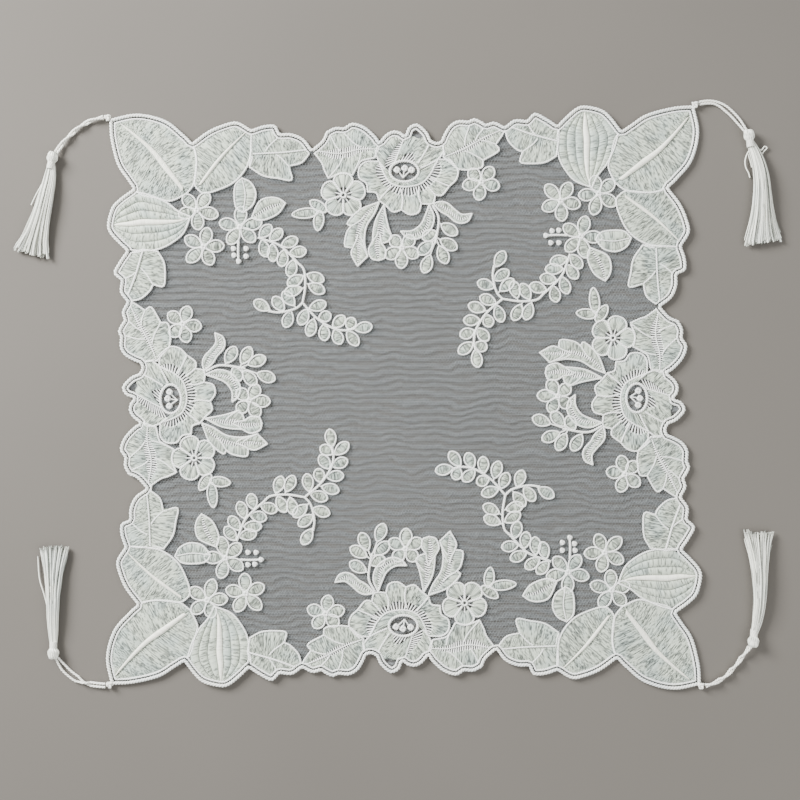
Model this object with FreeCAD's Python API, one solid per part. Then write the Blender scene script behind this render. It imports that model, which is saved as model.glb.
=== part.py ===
import FreeCAD, Part
import math
import os
from FreeCAD import Vector

# Sheer embroidered net square with a tassel at each corner.
# Millimetres, +Z up, the cloth's underside on Z = 0.

# ---------------------------------------------------------------- driving dimensions
STRETCH = (1.015, 0.985)        # the square lies slightly wider than it is long
HALF_SIDE = 147.0               # half the pattern's side, before the stretch
CORNER_SHIFT = {(-1, 1): (0.5, -1.3), (1, 1): (0.1, 3.2), (1, -1): (1.1, -2.7), (-1, -1): (-1.2, -0.1)}
NET_THICKNESS = 0.3             # each of the two net layers
EDGE_CORD_WIDTH = 1.7           # couched cord that follows the scalloped edge
EDGE_CORD_HEIGHT = 1.3
EDGE_GAP = 0.4                  # strip of net left between the edge cord and the motifs
STITCH_HEIGHT = 0.9             # padded satin stitch above the front net
RIB_WIDTH = 1.6                 # raised midrib of a leaf
RIB_HEIGHT = 0.5
STEM_WIDTH = 1.3
PETAL_SIZE = (7.0, 5.5)         # small floret petal, along and across
LEAFLET_SIZE = (7.2, 4.6)
BERRY_RADIUS = 1.3
FLORET_EYE_RADIUS = 1.6
KNOT_RADIUS = 2.0               # hitch of the tassel's loop round the corner's tip
EYE_HOLE_RADIUS = 0.5            # hole where the cord's loop turns, in the knot and in the head
BORE_GAP = 0.05                  # between a neck and its wrap
JOINT_GAP = 0.3                 # free space round each knot and head
CORD_DIAMETER = 2.6             # two 1.3 mm strands side by side
HEAD_RADIUS = 2.9
HEAD_LENGTH = 5.4               # from the head's top to the neck wrap
NECK_RADIUS = 1.4
WRAP_THICKNESS = 0.5
WRAP_LENGTH = 3.4
SKIRT_HEIGHT = 6.2
SKIRT_END_HEIGHT = 4.6

EMBROIDERY_Z = 2 * NET_THICKNESS
QUARTERS = ("nw", "ne", "se", "sw")
SIDES = ("north", "east", "south", "west")

# ---------------------------------------------------------------- the pattern, one quarter of it
# Points are for the quarter at the north-west corner and the north side, and a quarter turn repeats them.
# A point given twice is a sharp corner; between corners the line is a smooth curve.
SCALLOPS = [
    (-147, 144.5), (-133, 147), (-119, 143.5), (-109.6, 136), (-105.5, 131.7), (-105.5, 131.7),
    (-97.5, 137.6), (-89.5, 141), (-83, 142), (-76, 138), (-76, 138),
    (-70, 140), (-64.2, 140), (-61.8, 135.8), (-61.8, 135.8), (-56, 135.7), (-50, 133),
    (-45.8, 127.6), (-45.8, 127.6),
    (-41, 132), (-39, 136.4), (-39, 136.4), (-34.5, 138.6), (-30, 138.4), (-30, 138.4),
    (-25.7, 140.7), (-19.4, 138.6), (-13.8, 133.5), (-12.4, 130.8), (-12.4, 130.8),
    (-9.2, 134.6), (-5.4, 136.4), (-1.7, 135.6), (0.4, 133.8), (0.4, 133.8),
    (2.2, 138), (6.5, 139.7), (11.4, 135.7), (13.5, 131.3), (13.5, 131.3), (16, 130.2),
    (18.3, 130.8), (18.3, 130.8),
    (19.7, 134.2), (22.5, 138.6), (26.7, 141), (32, 140.8), (32, 140.8),
    (35, 141.9), (38.6, 140.4), (40.6, 139), (40.6, 139), (45, 140), (50, 137.6), (50, 137.6),
    (55, 141), (61, 140.6), (61, 140.6), (65, 144.2), (70.8, 141.6), (76.3, 137.9), (76.3, 137.9),
    (79.8, 141.6), (85.3, 146.3), (90, 147.6), (98.4, 145.6), (103.2, 141.6), (108.3, 134.8),
    (108.3, 134.8),
    (113, 138), (121, 143), (134, 146.3), (144.5, 147), (144.5, 147),
]

# Leaves: rib, then the two sides; every line runs from the tip to the base.
LEAVES = {
    "corner_leaf": ([(-147, 144.5), (-140.3, 141), (-126.2, 128.6), (-117.6, 117.6), (-108.2, 105.3)],
                    [(-147, 144.5), (-133, 147), (-119, 143.5), (-109.6, 136), (-105.5, 131.7),
                     (-103.3, 123), (-104.2, 111.5), (-108.2, 105.3)],
                    [(-147, 144.5), (-146.3, 134), (-143, 121), (-136.2, 110.8), (-131, 105.3),
                     (-123, 103.2), (-116.2, 101.8), (-108.2, 105.3)]),
    "pointed_leaf": ([(-75.8, 138.5), (-79.2, 136.2), (-91, 124), (-103, 108)],
                     [(-75.8, 138.5), (-83, 142), (-89.5, 141), (-97.5, 137.6), (-105.5, 131.7),
                      (-105.5, 131.7),
                      (-103.3, 123), (-104.2, 111.5), (-103, 108)],
                     [(-75.8, 138.5), (-76.2, 127), (-78.2, 119), (-84.2, 111.4), (-93, 107),
                      (-99.6, 105.6),
                      (-103, 108)]),
    "striped_leaf": ([(-147.6, 90), (-127, 91), (-106.2, 93.5)],
                     [(-147.6, 90), (-145.6, 98.4), (-141.6, 103.2), (-136.2, 106.6), (-127, 105),
                      (-118.2, 101),
                      (-112.2, 96.3), (-106.2, 93.5)],
                     [(-147.6, 90), (-146.3, 85.3), (-141.6, 79.8), (-136.2, 77), (-127.6, 76.3),
                      (-121, 77.4),
                      (-115, 80.5), (-109.6, 85.3), (-106.2, 93.5)]),
    "small_leaf_a": ([(-138.3, 50.3), (-133.5, 63), (-129.5, 77)],
                     [(-138.3, 50.3), (-141, 55), (-140.6, 61), (-140.6, 61), (-144.3, 65),
                      (-141.6, 70.8),
                      (-137.6, 76.3), (-137.6, 76.3), (-129.5, 77)],
                     [(-138.3, 50.3), (-131, 51.6), (-126.2, 55.7), (-124.6, 59), (-124.6, 59),
                      (-119.5, 58),
                      (-118.6, 63.3), (-119.2, 70.2), (-122.2, 75.7), (-122.2, 75.7), (-129.5, 77)]),
    "small_leaf_b": ([(-46, 127.4), (-60, 126), (-76.4, 125.3)],
                     [(-46, 127.4), (-50, 133), (-56, 135.5), (-61.8, 135.5), (-61.8, 135.5),
                      (-63.8, 140), (-70, 140),
                      (-76, 138), (-76, 138), (-76.4, 125.3)],
                     [(-46, 127.4), (-48.6, 123.3), (-51.6, 120.4), (-57.5, 119), (-57.5, 119),
                      (-56, 112),
                      (-62.8, 112.8), (-70, 114.2), (-76.8, 118.7), (-76.8, 118.7), (-76.4, 125.3)]),
    "spray_leaf_a": ([(-80.2, 114.2), (-78, 105.5), (-77.8, 97)], [(-80.2, 114.2), (-82.5, 107.3),
                      (-77.8, 97)],
                     [(-80.2, 114.2), (-72.8, 107.3), (-77.8, 97)]),
    "spray_leaf_b": ([(-58.5, 101.5), (-66, 99), (-74.2, 94.2)], [(-58.5, 101.5), (-67.5, 104),
                      (-74.2, 94.2)],
                     [(-58.5, 101.5), (-64.2, 94.2), (-74.2, 94.2)]),
    "serrated_leaf_a": ([(-45.7, 127), (-32.7, 125), (-22, 127), (-12.8, 127)],
                        [(-45.7, 127), (-41, 132), (-39, 136.4), (-39, 136.4), (-34.5, 138.6),
                         (-30, 138.4),
                         (-30, 138.4), (-25.7, 140.5), (-19.4, 138.6), (-13.8, 133.5),
                         (-12.4, 130.8), (-12.8, 127)],
                        [(-45.7, 127), (-41, 120.6), (-39.7, 117), (-37.6, 112.6), (-37.6, 112.6),
                         (-31.3, 114.8),
                         (-25.7, 114), (-25.7, 114), (-22.9, 119), (-20.8, 121.3), (-14.5, 122.7),
                         (-14.5, 122.7),
                         (-12.8, 127)]),
    "serrated_leaf_b": ([(50, 136.5), (39.3, 131.7), (30, 126.5), (19.7, 122.5)],
                        [(50, 136.5), (45, 140), (40.6, 139), (40.6, 139), (38.6, 140.4),
                         (35, 141.8), (32, 140.8),
                         (32, 140.8), (26.7, 141), (22.5, 138.6), (19.7, 134.2), (18.5, 130),
                         (18.5, 130),
                         (19.9, 125.8), (19.7, 122.5)],
                        [(50, 136.5), (49, 133.5), (45.6, 128.5), (45.6, 128.5), (47, 125.2),
                         (39.3, 120.6),
                         (39.3, 120.6), (38.6, 117), (32, 115.8), (26.7, 116.3), (26.7, 116.3),
                         (19.7, 122.5)]),
    "feather_a": ([(-23, 68.7), (-23.2, 82), (-20, 93), (-12.4, 101)],
                  [(-23, 68.7), (-25.4, 74.4), (-28.5, 79.5), (-27, 90.3), (-21.5, 97.5), (-12.4, 101)],
                  [(-23, 68.7), (-18.7, 77.3), (-19, 84.5), (-16.6, 93.2), (-12.4, 101)]),
    "feather_b": ([(-13.5, 72.8), (-12, 80), (-10.8, 90), (-9.6, 99)],
                  [(-13.5, 72.8), (-9.6, 72.3), (-9.7, 80.7), (-9.7, 80.7), (-6, 83), (-8.2, 91.7),
                   (-9.6, 99)],
                  [(-13.5, 72.8), (-16.6, 76), (-14.5, 81), (-13.8, 90.3), (-9.6, 99)]),
    "curl_a": ([(-1.2, 86), (4.5, 84.8), (10, 87.5), (12, 98.2)],
               [(-1.2, 86), (2.9, 82.7), (9.3, 83), (13.5, 90.3), (12, 98.2)],
               [(-1.2, 86), (7.9, 86.7), (10.7, 91.7), (12, 98.2)]),
    "curl_b": ([(32.7, 94.6), (26.5, 93.5), (20.5, 98), (15, 100.4)],
               [(32.7, 94.6), (26, 95.3), (21, 99.7), (15, 100.4)],
               [(32.7, 94.6), (29, 90.7), (24, 91.7), (18.3, 96.8), (15, 100.4)]),
}

ROSE = [
    (-12.4, 130.8), (-9.2, 134.6), (-5.4, 136.4), (-1.7, 135.6), (0.4, 133.8), (0.4, 133.8),
    (2.2, 138), (6.5, 139.7), (11.4, 135.7), (13.5, 131.3), (13.5, 131.3), (18.3, 130),
    (19.7, 125.6), (17, 121.3), (17, 121.3),
    (22.5, 120.6), (26.7, 116.3), (26, 111.2), (22.5, 107.6), (22.5, 107.6), (19, 103.3),
    (15.6, 103.3), (15.6, 103.3),
    (14.2, 99), (8.6, 99), (8.6, 99), (7.2, 94.6), (2.9, 93.5), (-1.2, 96), (-1.2, 96),
    (-5.4, 95), (-8.9, 98.2), (-12.4, 101), (-12.4, 101), (-13.8, 104.7), (-18, 105.4), (-18, 105.4),
    (-18.7, 109.7), (-22.2, 112.6), (-22.2, 117.7), (-18.7, 120.6), (-12.4, 120.6), (-12.4, 120.6),
    (-14, 125.6), (-12.4, 130.8), (-12.4, 130.8),
]
EYE = (0.1, 115.5, 12, 8)

# Florets: centre, then the centres of the petals.
FLORETS = {
    "floret_a": [(-103, 97), (-107.2, 101.8), (-108.5, 95.3), (-102.5, 90.5), (-95.9, 95),
                 (-99.2, 102.5)],
    "floret_b": [(-99.6, 78), (-98.2, 84.2), (-105.5, 81.2), (-105, 73), (-97, 72.2), (-93, 78.4)],
    "floret_c": [(-81.5, 88), (-81.2, 95), (-88.2, 89.7), (-85.2, 82.5), (-76.8, 83.2), (-74.2, 89.7)],
    "floret_d": [(-0.9, 76.6), (-4, 79.8), (2.2, 79.8), (4, 74), (-1.2, 69.8), (-6, 73.7)],
    "floret_e": [(38.6, 109.7), (42, 114), (44, 108), (37.6, 104), (32.7, 108.3), (35, 113.3)],
}
BLOSSOM = (-29.2, 104.7, 10.5)
STEMS = {
    "berry_stem": [(-82.2, 81.2), (-82.4, 76), (-82.2, 70.5)],
    "vine": [(-72.8, 82.6), (-62.8, 79), (-57.5, 74.6), (-52.8, 69.5), (-49.7, 65.8), (-49, 57.5),
             (-50.3, 49)],
    "branch_a": [(-50.3, 49), (-43.3, 41.2), (-35.7, 36.2), (-27, 34.6), (-19.5, 36.6)],
    "branch_b": [(-50.3, 49), (-54, 46), (-61.6, 44.6), (-67, 45.7), (-69.7, 48.5)],
    "sprig": [(14.2, 98.2), (17.3, 91), (15.6, 78.7)],
}
BERRIES = [(-84.8, 77), (-78.5, 77), (-84.5, 73.6), (-78.5, 73), (-82.2, 70.5)]
VINE_LEAFLETS = [
    (-69, 85.6), (-63.8, 83.6), (-56.8, 80), (-52.8, 75), (-69.5, 77), (-65.2, 74.6), (-60.2, 72),
    (-55.8, 66.7),
    (-54, 60.4), (-55, 55.2), (-43.8, 61.8), (-43.3, 56.3), (-42.7, 47.4), (-39.5, 41.8),
    (-32.5, 39), (-26.5, 38),
    (-49.8, 41.8), (-46, 36.2), (-39.5, 34), (-33, 31.8), (-25.4, 30.7), (-57.3, 51.3),
    (-62.2, 48.5), (-57.5, 40.7),
    (-19.5, 36.6), (-69.7, 48.5),
]
SPRIG_LEAFLETS = [(22.5, 87.4), (22.5, 79.5), (19, 73.7), (10.7, 68.7), (10.3, 77.7), (12.8, 84.5)]
TRIPLE = [(-39, 97.5), (-43, 100), (-49.5, 95), (-41.5, 91)]
BLOSSOM_LOBES = 5
SMALLEST_PIECE = 1.5            # mm2, below which a sliver between motifs is left out
CLEAR_OF_EDGE = 124.0           # no scallop's notch comes nearer than this to the middle of the square
INSET_STEP = 2.0                # spacing of the points that an inset outline is drawn through
ARC_SHARE = 0.45                # of the shorter run, taken by each arc of a cord
# Skirt sections: share of its length, share of its end half width, height.
SKIRT_SECTIONS = [(0.1, 0.34, 4.4), (0.22, 0.48, 5.4), (0.45, 0.68, 6.0), (0.75, 0.87, SKIRT_HEIGHT),
                  (1.0, 1.0, SKIRT_END_HEIGHT)]
ROUND_NECK = NECK_RADIUS * 1.001    # a hair wider than high, so that every section's seam is on the same side

# ---------------------------------------------------------------- tassels, on the finished square
# knot: the hitch's centre; cord: the route of the doubled cord; tip: the middle of the skirt's cut end.
# half_width: half of the skirt's width at its cut end.
TASSELS = {
    "nw": {"knot": (-149.4, 141.6), "tip": (-188.2, 72.8), "half_width": 9.0,
           "cord": [(-151.7, 141.7, 2.0), (-157.4, 140.6, 1.5), (-163.6, 137.2, 1.4),
                    (-169.2, 132.2, 1.4),
                    (-173.6, 126.9, 1.9), (-175.3, 123.9, 2.7)]},
    "ne": {"knot": (147.2, 148.2), "tip": (181.6, 78.4), "half_width": 9.8,
           "cord": [(149.4, 148.9, 2.0), (154.3, 150.0, 1.5), (160.0, 148.6, 1.4), (165.4, 144.4, 1.4),
                    (170.0, 139.0, 1.9), (172.4, 135.0, 2.7)]},
    "se": {"knot": (150.2, -145.2), "tip": (179.4, -67.4), "half_width": 8.6,
           "cord": [(152.5, -145.3, 2.0), (158.0, -143.9, 1.5), (164.0, -139.6, 1.4),
                    (169.2, -133.4, 1.4),
                    (172.6, -128.6, 1.9), (174.6, -125.3, 2.7)]},
    "sw": {"knot": (-148.4, -144.8), "tip": (-176.2, -75.2), "half_width": 8.2,
           "cord": [(-150.7, -145.2, 2.0), (-156.6, -145.0, 1.5), (-163.4, -143.2, 1.4),
                    (-169.4, -138.9, 1.4),
                    (-173.0, -134.6, 1.9), (-174.9, -131.2, 2.7)]},
}


# ---------------------------------------------------------------- placing and drawing lines
def place(point, turns):
    """A pattern point turned by quarter turns (clockwise), stretched, and pulled slightly out of square."""
    x, y = point[0], point[1]
    for _ in range(turns):
        x, y = y, -x
    east, north = x / HALF_SIDE, y / HALF_SIDE
    x, y = x * STRETCH[0], y * STRETCH[1]
    for (side_x, side_y), shift in CORNER_SHIFT.items():
        share = (1 + side_x * east) * (1 + side_y * north) / 4
        x += share * shift[0]
        y += share * shift[1]
    return Vector(x, y, 0)


def smooth_edges(points, turns):
    """Edges through the placed points: one smooth curve between each two sharp corners."""
    stretches = [[points[0]]]
    for point in points[1:]:
        if point == stretches[-1][-1]:
            stretches.append([])
        stretches[-1].append(point)
    edges = []
    for stretch in stretches:
        if len(stretch) < 2:
            continue
        placed = [place(p, turns) for p in stretch]
        if len(placed) == 2:
            edges.append(Part.makeLine(placed[0], placed[1]))
            continue
        curve = Part.BSplineCurve()
        curve.interpolate(placed)
        edges.append(curve.toShape())
    return edges


def face_of(edges):
    return Part.Face(Part.Wire(Part.__sortEdges__(edges)))


def leaf_face(sides, turns):
    return face_of(smooth_edges(sides[0], turns) + smooth_edges(sides[1], turns))


def closed_face(points, turns):
    return face_of(smooth_edges(points, turns))


def round_face(centre, radius):
    return Part.Face(Part.Wire(Part.Circle(centre, Vector(0, 0, 1), radius).toShape()))


def oval_face(centre, size, angle):
    """An ellipse of size (along, across), its long axis at angle in radians."""
    along = Vector(math.cos(angle), math.sin(angle), 0)
    across = Vector(-math.sin(angle), math.cos(angle), 0)
    ellipse = Part.Ellipse(centre + along * size[0] / 2, centre + across * size[1] / 2, centre)
    return Part.Face(Part.Wire(ellipse.toShape()))


def ribbon_face(points, turns, width):
    """A strip of even width along a smooth line, with square ends."""
    placed = [place(p, turns) for p in points]
    curve = Part.BSplineCurve()
    curve.interpolate(placed)
    left, right = [], []
    for point in placed:
        direction = curve.tangent(curve.parameter(point))[0]
        normal = Vector(-direction.y, direction.x, 0)
        left.append(point + normal * width / 2)
        right.append(point - normal * width / 2)
    edges = []
    for side in (left, right):
        line = Part.BSplineCurve()
        line.interpolate(side)
        edges.append(line.toShape())
    edges.append(Part.makeLine(left[0], right[0]))
    edges.append(Part.makeLine(left[-1], right[-1]))
    return face_of(edges)


def petal_faces(floret, turns):
    """Five petals pointing out from the floret's centre, and its round eye."""
    centre = place(floret[0], turns)
    faces = []
    for petal in floret[1:]:
        middle = place(petal, turns)
        out = middle - centre
        faces.append(oval_face(middle, PETAL_SIZE, math.atan2(out.y, out.x)))
    faces.append(round_face(centre, FLORET_EYE_RADIUS))
    return faces


def leaflet_faces(centres, stems, turns):
    """One leaflet at each centre, pointing out from the nearest stem."""
    lines = [Part.Wire(smooth_edges(stem, turns)) for stem in stems]
    faces = []
    for centre in centres:
        middle = place(centre, turns)
        nearest = min((line.distToShape(Part.Vertex(middle)) for line in lines), key=lambda d: d[0])
        out = middle - nearest[1][0][0]
        if out.Length < STEM_WIDTH:
            out = middle - lines[0].Edges[0].Vertexes[0].Point
        faces.append(oval_face(middle, LEAFLET_SIZE, math.atan2(out.y, out.x)))
    return faces


def blossom_faces(blossom, turns):
    """The five-lobed flower beside the rose."""
    centre = place(blossom, turns)
    radius = blossom[2]
    faces = []
    for lobe in range(BLOSSOM_LOBES):
        angle = 2 * math.pi * (lobe + 0.25) / BLOSSOM_LOBES - turns * math.pi / 2
        middle = centre + Vector(math.cos(angle), math.sin(angle), 0) * radius * 0.58
        faces.append(oval_face(middle, (radius * 0.84, radius * 0.68), angle))
    return faces


# ---------------------------------------------------------------- the cloth
def square_face():
    """The whole scalloped outline."""
    edges = []
    for turns in range(4):
        edges += smooth_edges(SCALLOPS, turns)
    return face_of(edges)


def inset(face, distance):
    """The face drawn again, smaller by distance all round, with curves that share their end points."""
    offset = face.makeOffset2D(-distance).OuterWire
    first = end = None
    edges = []
    for edge in offset.OrderedEdges:
        points = edge.discretize(max(3, int(edge.Length / INSET_STEP) + 1))
        if edge.Orientation == "Reversed":
            points.reverse()
        if end is None:
            first = points[0]
        elif points[0].distanceToPoint(end) > points[-1].distanceToPoint(end):
            points.reverse()
        points[0] = end or points[0]
        if len(edges) == len(offset.OrderedEdges) - 1:
            points[-1] = first
        end = points[-1]
        curve = Part.BSplineCurve()
        curve.interpolate(points)
        edges.append(curve.toShape())
    return Part.Face(Part.Wire(edges))


def knot_room():
    """The round gaps that the four knots stand in at the corners' tips."""
    return [round_face(Vector(*t["knot"], 0), KNOT_RADIUS + JOINT_GAP) for t in TASSELS.values()]


def raise_faces(faces, bottom, height):
    """Flat solids on the cloth, one for each face."""
    solids = []
    for face in faces:
        lifted = face.copy()
        lifted.translate(Vector(0, 0, bottom))
        solids += lifted.extrude(Vector(0, 0, height)).Solids
    return solids


def motif_groups():
    """Every motif's flat faces, as (node name, faces), in the order in which they lie over each other."""
    groups = []
    for turns in range(4):
        corner, side = QUARTERS[turns], SIDES[turns]

        def leaves(*names):
            return [leaf_face(LEAVES[name][1:], turns) for name in names]

        groups.append((f"corner_leaf_{corner}", leaves("corner_leaf")))
        groups.append((f"pointed_leaf_{corner}", leaves("pointed_leaf")))
        groups.append((f"striped_leaf_{corner}", leaves("striped_leaf")))
        rose = closed_face(ROSE, turns)
        eye = place(EYE, turns)
        rose = rose.cut(oval_face(eye, EYE[2:], -turns * math.pi / 2))
        groups.append((f"rose_{side}", [rose]))
        groups.append((f"serrated_leaves_{side}", leaves("serrated_leaf_a", "serrated_leaf_b")))
        groups.append((f"small_leaves_{corner}", leaves("small_leaf_a", "small_leaf_b", "spray_leaf_a",
                                                         "spray_leaf_b")))
        stems = [STEMS[name] for name in ("vine", "branch_a", "branch_b")]
        spray = [face for name in ("floret_a", "floret_b", "floret_c") for face in
                 petal_faces(FLORETS[name], turns)]
        spray += [ribbon_face(STEMS["berry_stem"], turns, STEM_WIDTH)]
        spray += [round_face(place(b, turns), BERRY_RADIUS) for b in BERRIES]
        spray += [ribbon_face(stem, turns, STEM_WIDTH) for stem in stems]
        spray += leaflet_faces(VINE_LEAFLETS, stems, turns)
        groups.append((f"flower_vine_{corner}", spray))
        sprays = blossom_faces(BLOSSOM, turns) + leaves("feather_a", "feather_b", "curl_a", "curl_b")
        for name in ("floret_d", "floret_e"):
            sprays += petal_faces(FLORETS[name], turns)
        sprays += [ribbon_face(STEMS["sprig"], turns, STEM_WIDTH)]
        sprays += leaflet_faces(SPRIG_LEAFLETS, [STEMS["sprig"]], turns)
        sprays += leaflet_faces(TRIPLE[1:], [[TRIPLE[0], TRIPLE[1]]], turns)
        groups.append((f"side_sprays_{side}", sprays))
    return groups


def embroidery(field):
    """The motifs as raised solids: each face keeps to the field, and gives way to the faces before it."""
    placed = []
    nodes = {}
    for name, faces in motif_groups():
        kept = []
        for face in faces:
            box = face.BoundBox
            if max(box.XMax, box.YMax, -box.XMin, -box.YMin) > CLEAR_OF_EDGE:
                face = face.common(field)
            under = [other for other in placed if box.intersect(other.BoundBox)]
            if under:
                face = face.cut(under)
            for piece in face.Faces:
                if piece.Area > SMALLEST_PIECE:
                    kept.append(piece)
                    placed.append(piece)
        nodes[name] = raise_faces(kept, EMBROIDERY_Z, STITCH_HEIGHT)
    return nodes


def midribs(turns):
    """Raised ribs of the corner leaf and the pointed leaf, standing on their plates."""
    ribs = {}
    for name in ("corner_leaf", "pointed_leaf"):
        rib = LEAVES[name][0]
        face = ribbon_face(rib[1:-1], turns, RIB_WIDTH)
        ribs[f"{name}_{QUARTERS[turns]}"] = raise_faces([face], EMBROIDERY_Z + STITCH_HEIGHT, RIB_HEIGHT)
    return ribs


# ---------------------------------------------------------------- the tassels
def cord_tube(name, route):
    """The doubled cord: straight runs joined by the largest arcs that they allow."""
    points = [Vector(*p) for p in route]
    edges, radii, turns_deg = [], [], []
    start = points[0]
    for before, point, after in zip(points, points[1:], points[2:]):
        arrive, leave = (point - before), (after - point)
        shorter = min(arrive.Length, leave.Length)
        turn = arrive.getAngle(leave)
        back = ARC_SHARE * shorter
        radius = back / math.tan(turn / 2)
        arrive.normalize()
        leave.normalize()
        arc_start, arc_end = point - arrive * back, point + leave * back
        bisector = (leave - arrive).normalize()
        centre = point + bisector * (radius / math.cos(turn / 2))
        middle = centre - bisector * radius
        edges.append(Part.makeLine(start, arc_start))
        edges.append(Part.Arc(arc_start, middle, arc_end).toShape())
        start = arc_end
        radii.append(radius)
        turns_deg.append(math.degrees(turn))
    edges.append(Part.makeLine(start, points[-1]))
    path = Part.Wire(edges)
    direction = points[1] - points[0]
    section = Part.Wire(Part.makeCircle(CORD_DIAMETER / 2, points[0], direction))
    tube = path.makePipeShell([section], True, False)
    expected = math.pi * CORD_DIAMETER ** 2 / 4 * path.Length
    print(f"{name}: length {path.Length:.1f} mm, radii {[round(r, 1) for r in radii]},",
          f"turns {[round(t) for t in turns_deg]}, volume over section x length {tube.Volume / expected:.4f}")
    return tube


def oval_section(centre, half_width, half_height):
    """A section across the tassel: wider than it is high."""
    ellipse = Part.Ellipse(centre + Vector(0, half_width, 0), centre + Vector(0, 0, half_height), centre)
    return Part.Wire(ellipse.toShape())


def eye_hole(centre, axis):
    """A thin rod through the centre, for the hole where the cord's loop turns."""
    reach = 2 * HEAD_RADIUS
    return Part.makeCylinder(EYE_HOLE_RADIUS, 2 * reach, centre - axis * reach, axis)


def tassel_parts(name, spec):
    """Knot, cord, head, neck wrap and skirt of one tassel, all lying on Z = 0."""
    knot_centre = Vector(spec["knot"][0], spec["knot"][1], KNOT_RADIUS)
    cord = cord_tube(f"tassel_cord_{name}", spec["cord"])
    last = Vector(*spec["cord"][-1])
    arrive = (last - Vector(*spec["cord"][-2]))
    arrive.z = 0
    arrive.normalize()
    head_centre = last + arrive * (HEAD_RADIUS + JOINT_GAP)
    head_centre.z = HEAD_RADIUS
    tip = Vector(spec["tip"][0], spec["tip"][1], HEAD_RADIUS)
    axis = (tip - head_centre).normalize()
    angle = math.degrees(math.atan2(axis.y, axis.x))
    hang = Vector(spec["tip"][0] - knot_centre.x, spec["tip"][1] - knot_centre.y, 0).normalize()
    knot = Part.makeSphere(KNOT_RADIUS, knot_centre).cut(eye_hole(knot_centre, Vector(hang.y, -hang.x, 0)))
    print(f"tassel {name}: knot at {tuple(knot_centre)}, head at {tuple(round(c, 2) for c in head_centre)}")

    def settle(shape):
        """From the tassel's own frame (+X towards its tip, origin at the head's centre) to its place."""
        shape.rotate(Vector(), Vector(0, 0, 1), angle)
        shape.translate(head_centre)
        return shape

    neck_start = HEAD_LENGTH - HEAD_RADIUS
    shoulder = Vector(neck_start * 0.45, HEAD_RADIUS * 0.93, 0)
    neck_rim = Vector(neck_start, NECK_RADIUS + WRAP_THICKNESS, 0)
    profile = [
        Part.Arc(Vector(-HEAD_RADIUS, 0, 0), Vector(-0.7071, 0.7071, 0) * HEAD_RADIUS,
                 Vector(0, HEAD_RADIUS, 0)).toShape(),
        Part.Arc(Vector(0, HEAD_RADIUS, 0), shoulder, neck_rim).toShape(),
        Part.makeLine(neck_rim, Vector(neck_start, 0, 0)),
        Part.makeLine(Vector(neck_start, 0, 0), Vector(-HEAD_RADIUS, 0, 0)),
    ]
    head = Part.Face(Part.Wire(profile)).revolve(Vector(), Vector(1, 0, 0), 360)
    head = head.cut(eye_hole(Vector(), Vector(0, 0, 1)))
    along = Vector(1, 0, 0)
    wrap_length = WRAP_LENGTH - 2 * BORE_GAP
    wrap_start = Vector(neck_start + BORE_GAP, 0, 0)
    wrap = Part.makeCylinder(NECK_RADIUS + WRAP_THICKNESS, wrap_length, wrap_start, along)
    wrap = wrap.cut(Part.makeCylinder(NECK_RADIUS + BORE_GAP, wrap_length, wrap_start, along))

    skirt_start = neck_start + WRAP_LENGTH
    skirt_end = (tip - head_centre).Length
    sections = [oval_section(Vector(neck_start, 0, 0), ROUND_NECK, NECK_RADIUS),
                oval_section(Vector(skirt_start, 0, 0), ROUND_NECK, NECK_RADIUS)]
    for share, width_share, height in SKIRT_SECTIONS:
        centre = Vector(skirt_start + (skirt_end - skirt_start) * share, 0, height / 2 - HEAD_RADIUS)
        sections.append(oval_section(centre, spec["half_width"] * width_share, height / 2))
    skirt = Part.makeLoft(sections, True, True)
    return {
        f"corner_knot_{name}": knot,
        f"tassel_cord_{name}": cord,
        f"tassel_head_{name}": settle(head),
        f"neck_wrap_{name}": settle(wrap),
        f"tassel_skirt_{name}": settle(skirt),
    }


# ---------------------------------------------------------------- the parts
def build():
    outline = square_face()
    room = knot_room()
    field = inset(outline, EDGE_CORD_WIDTH + EDGE_GAP).cut(room)
    net = outline.cut(room)
    ring = net.cut(inset(outline, EDGE_CORD_WIDTH))
    parts = {
        "net_back": raise_faces([net], 0, NET_THICKNESS)[0],
        "net_front": raise_faces([net], NET_THICKNESS, NET_THICKNESS)[0],
        "edge_cord": Part.makeCompound(raise_faces([ring], EMBROIDERY_Z, EDGE_CORD_HEIGHT)),
    }
    motifs = embroidery(field)
    for turns in range(4):
        for name, ribs in midribs(turns).items():
            motifs[name] += ribs
    for name, solids in motifs.items():
        parts[name] = Part.makeCompound(solids)
    for name, spec in TASSELS.items():
        parts.update(tassel_parts(name, spec))
    return parts


os.makedirs("parts", exist_ok=True)
for node, shape in build().items():
    shape.exportStep(f"parts/{node}.step")
    box = shape.BoundBox
    print(f"{node}: {len(shape.Solids)} solids, valid {shape.isValid()}, volume {shape.Volume:.0f},",
          f"Z {box.ZMin:.2f} to {box.ZMax:.2f}")
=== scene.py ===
import math

import bpy
import numpy as np
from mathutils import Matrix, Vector
from mathutils.geometry import delaunay_2d_cdt


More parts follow.
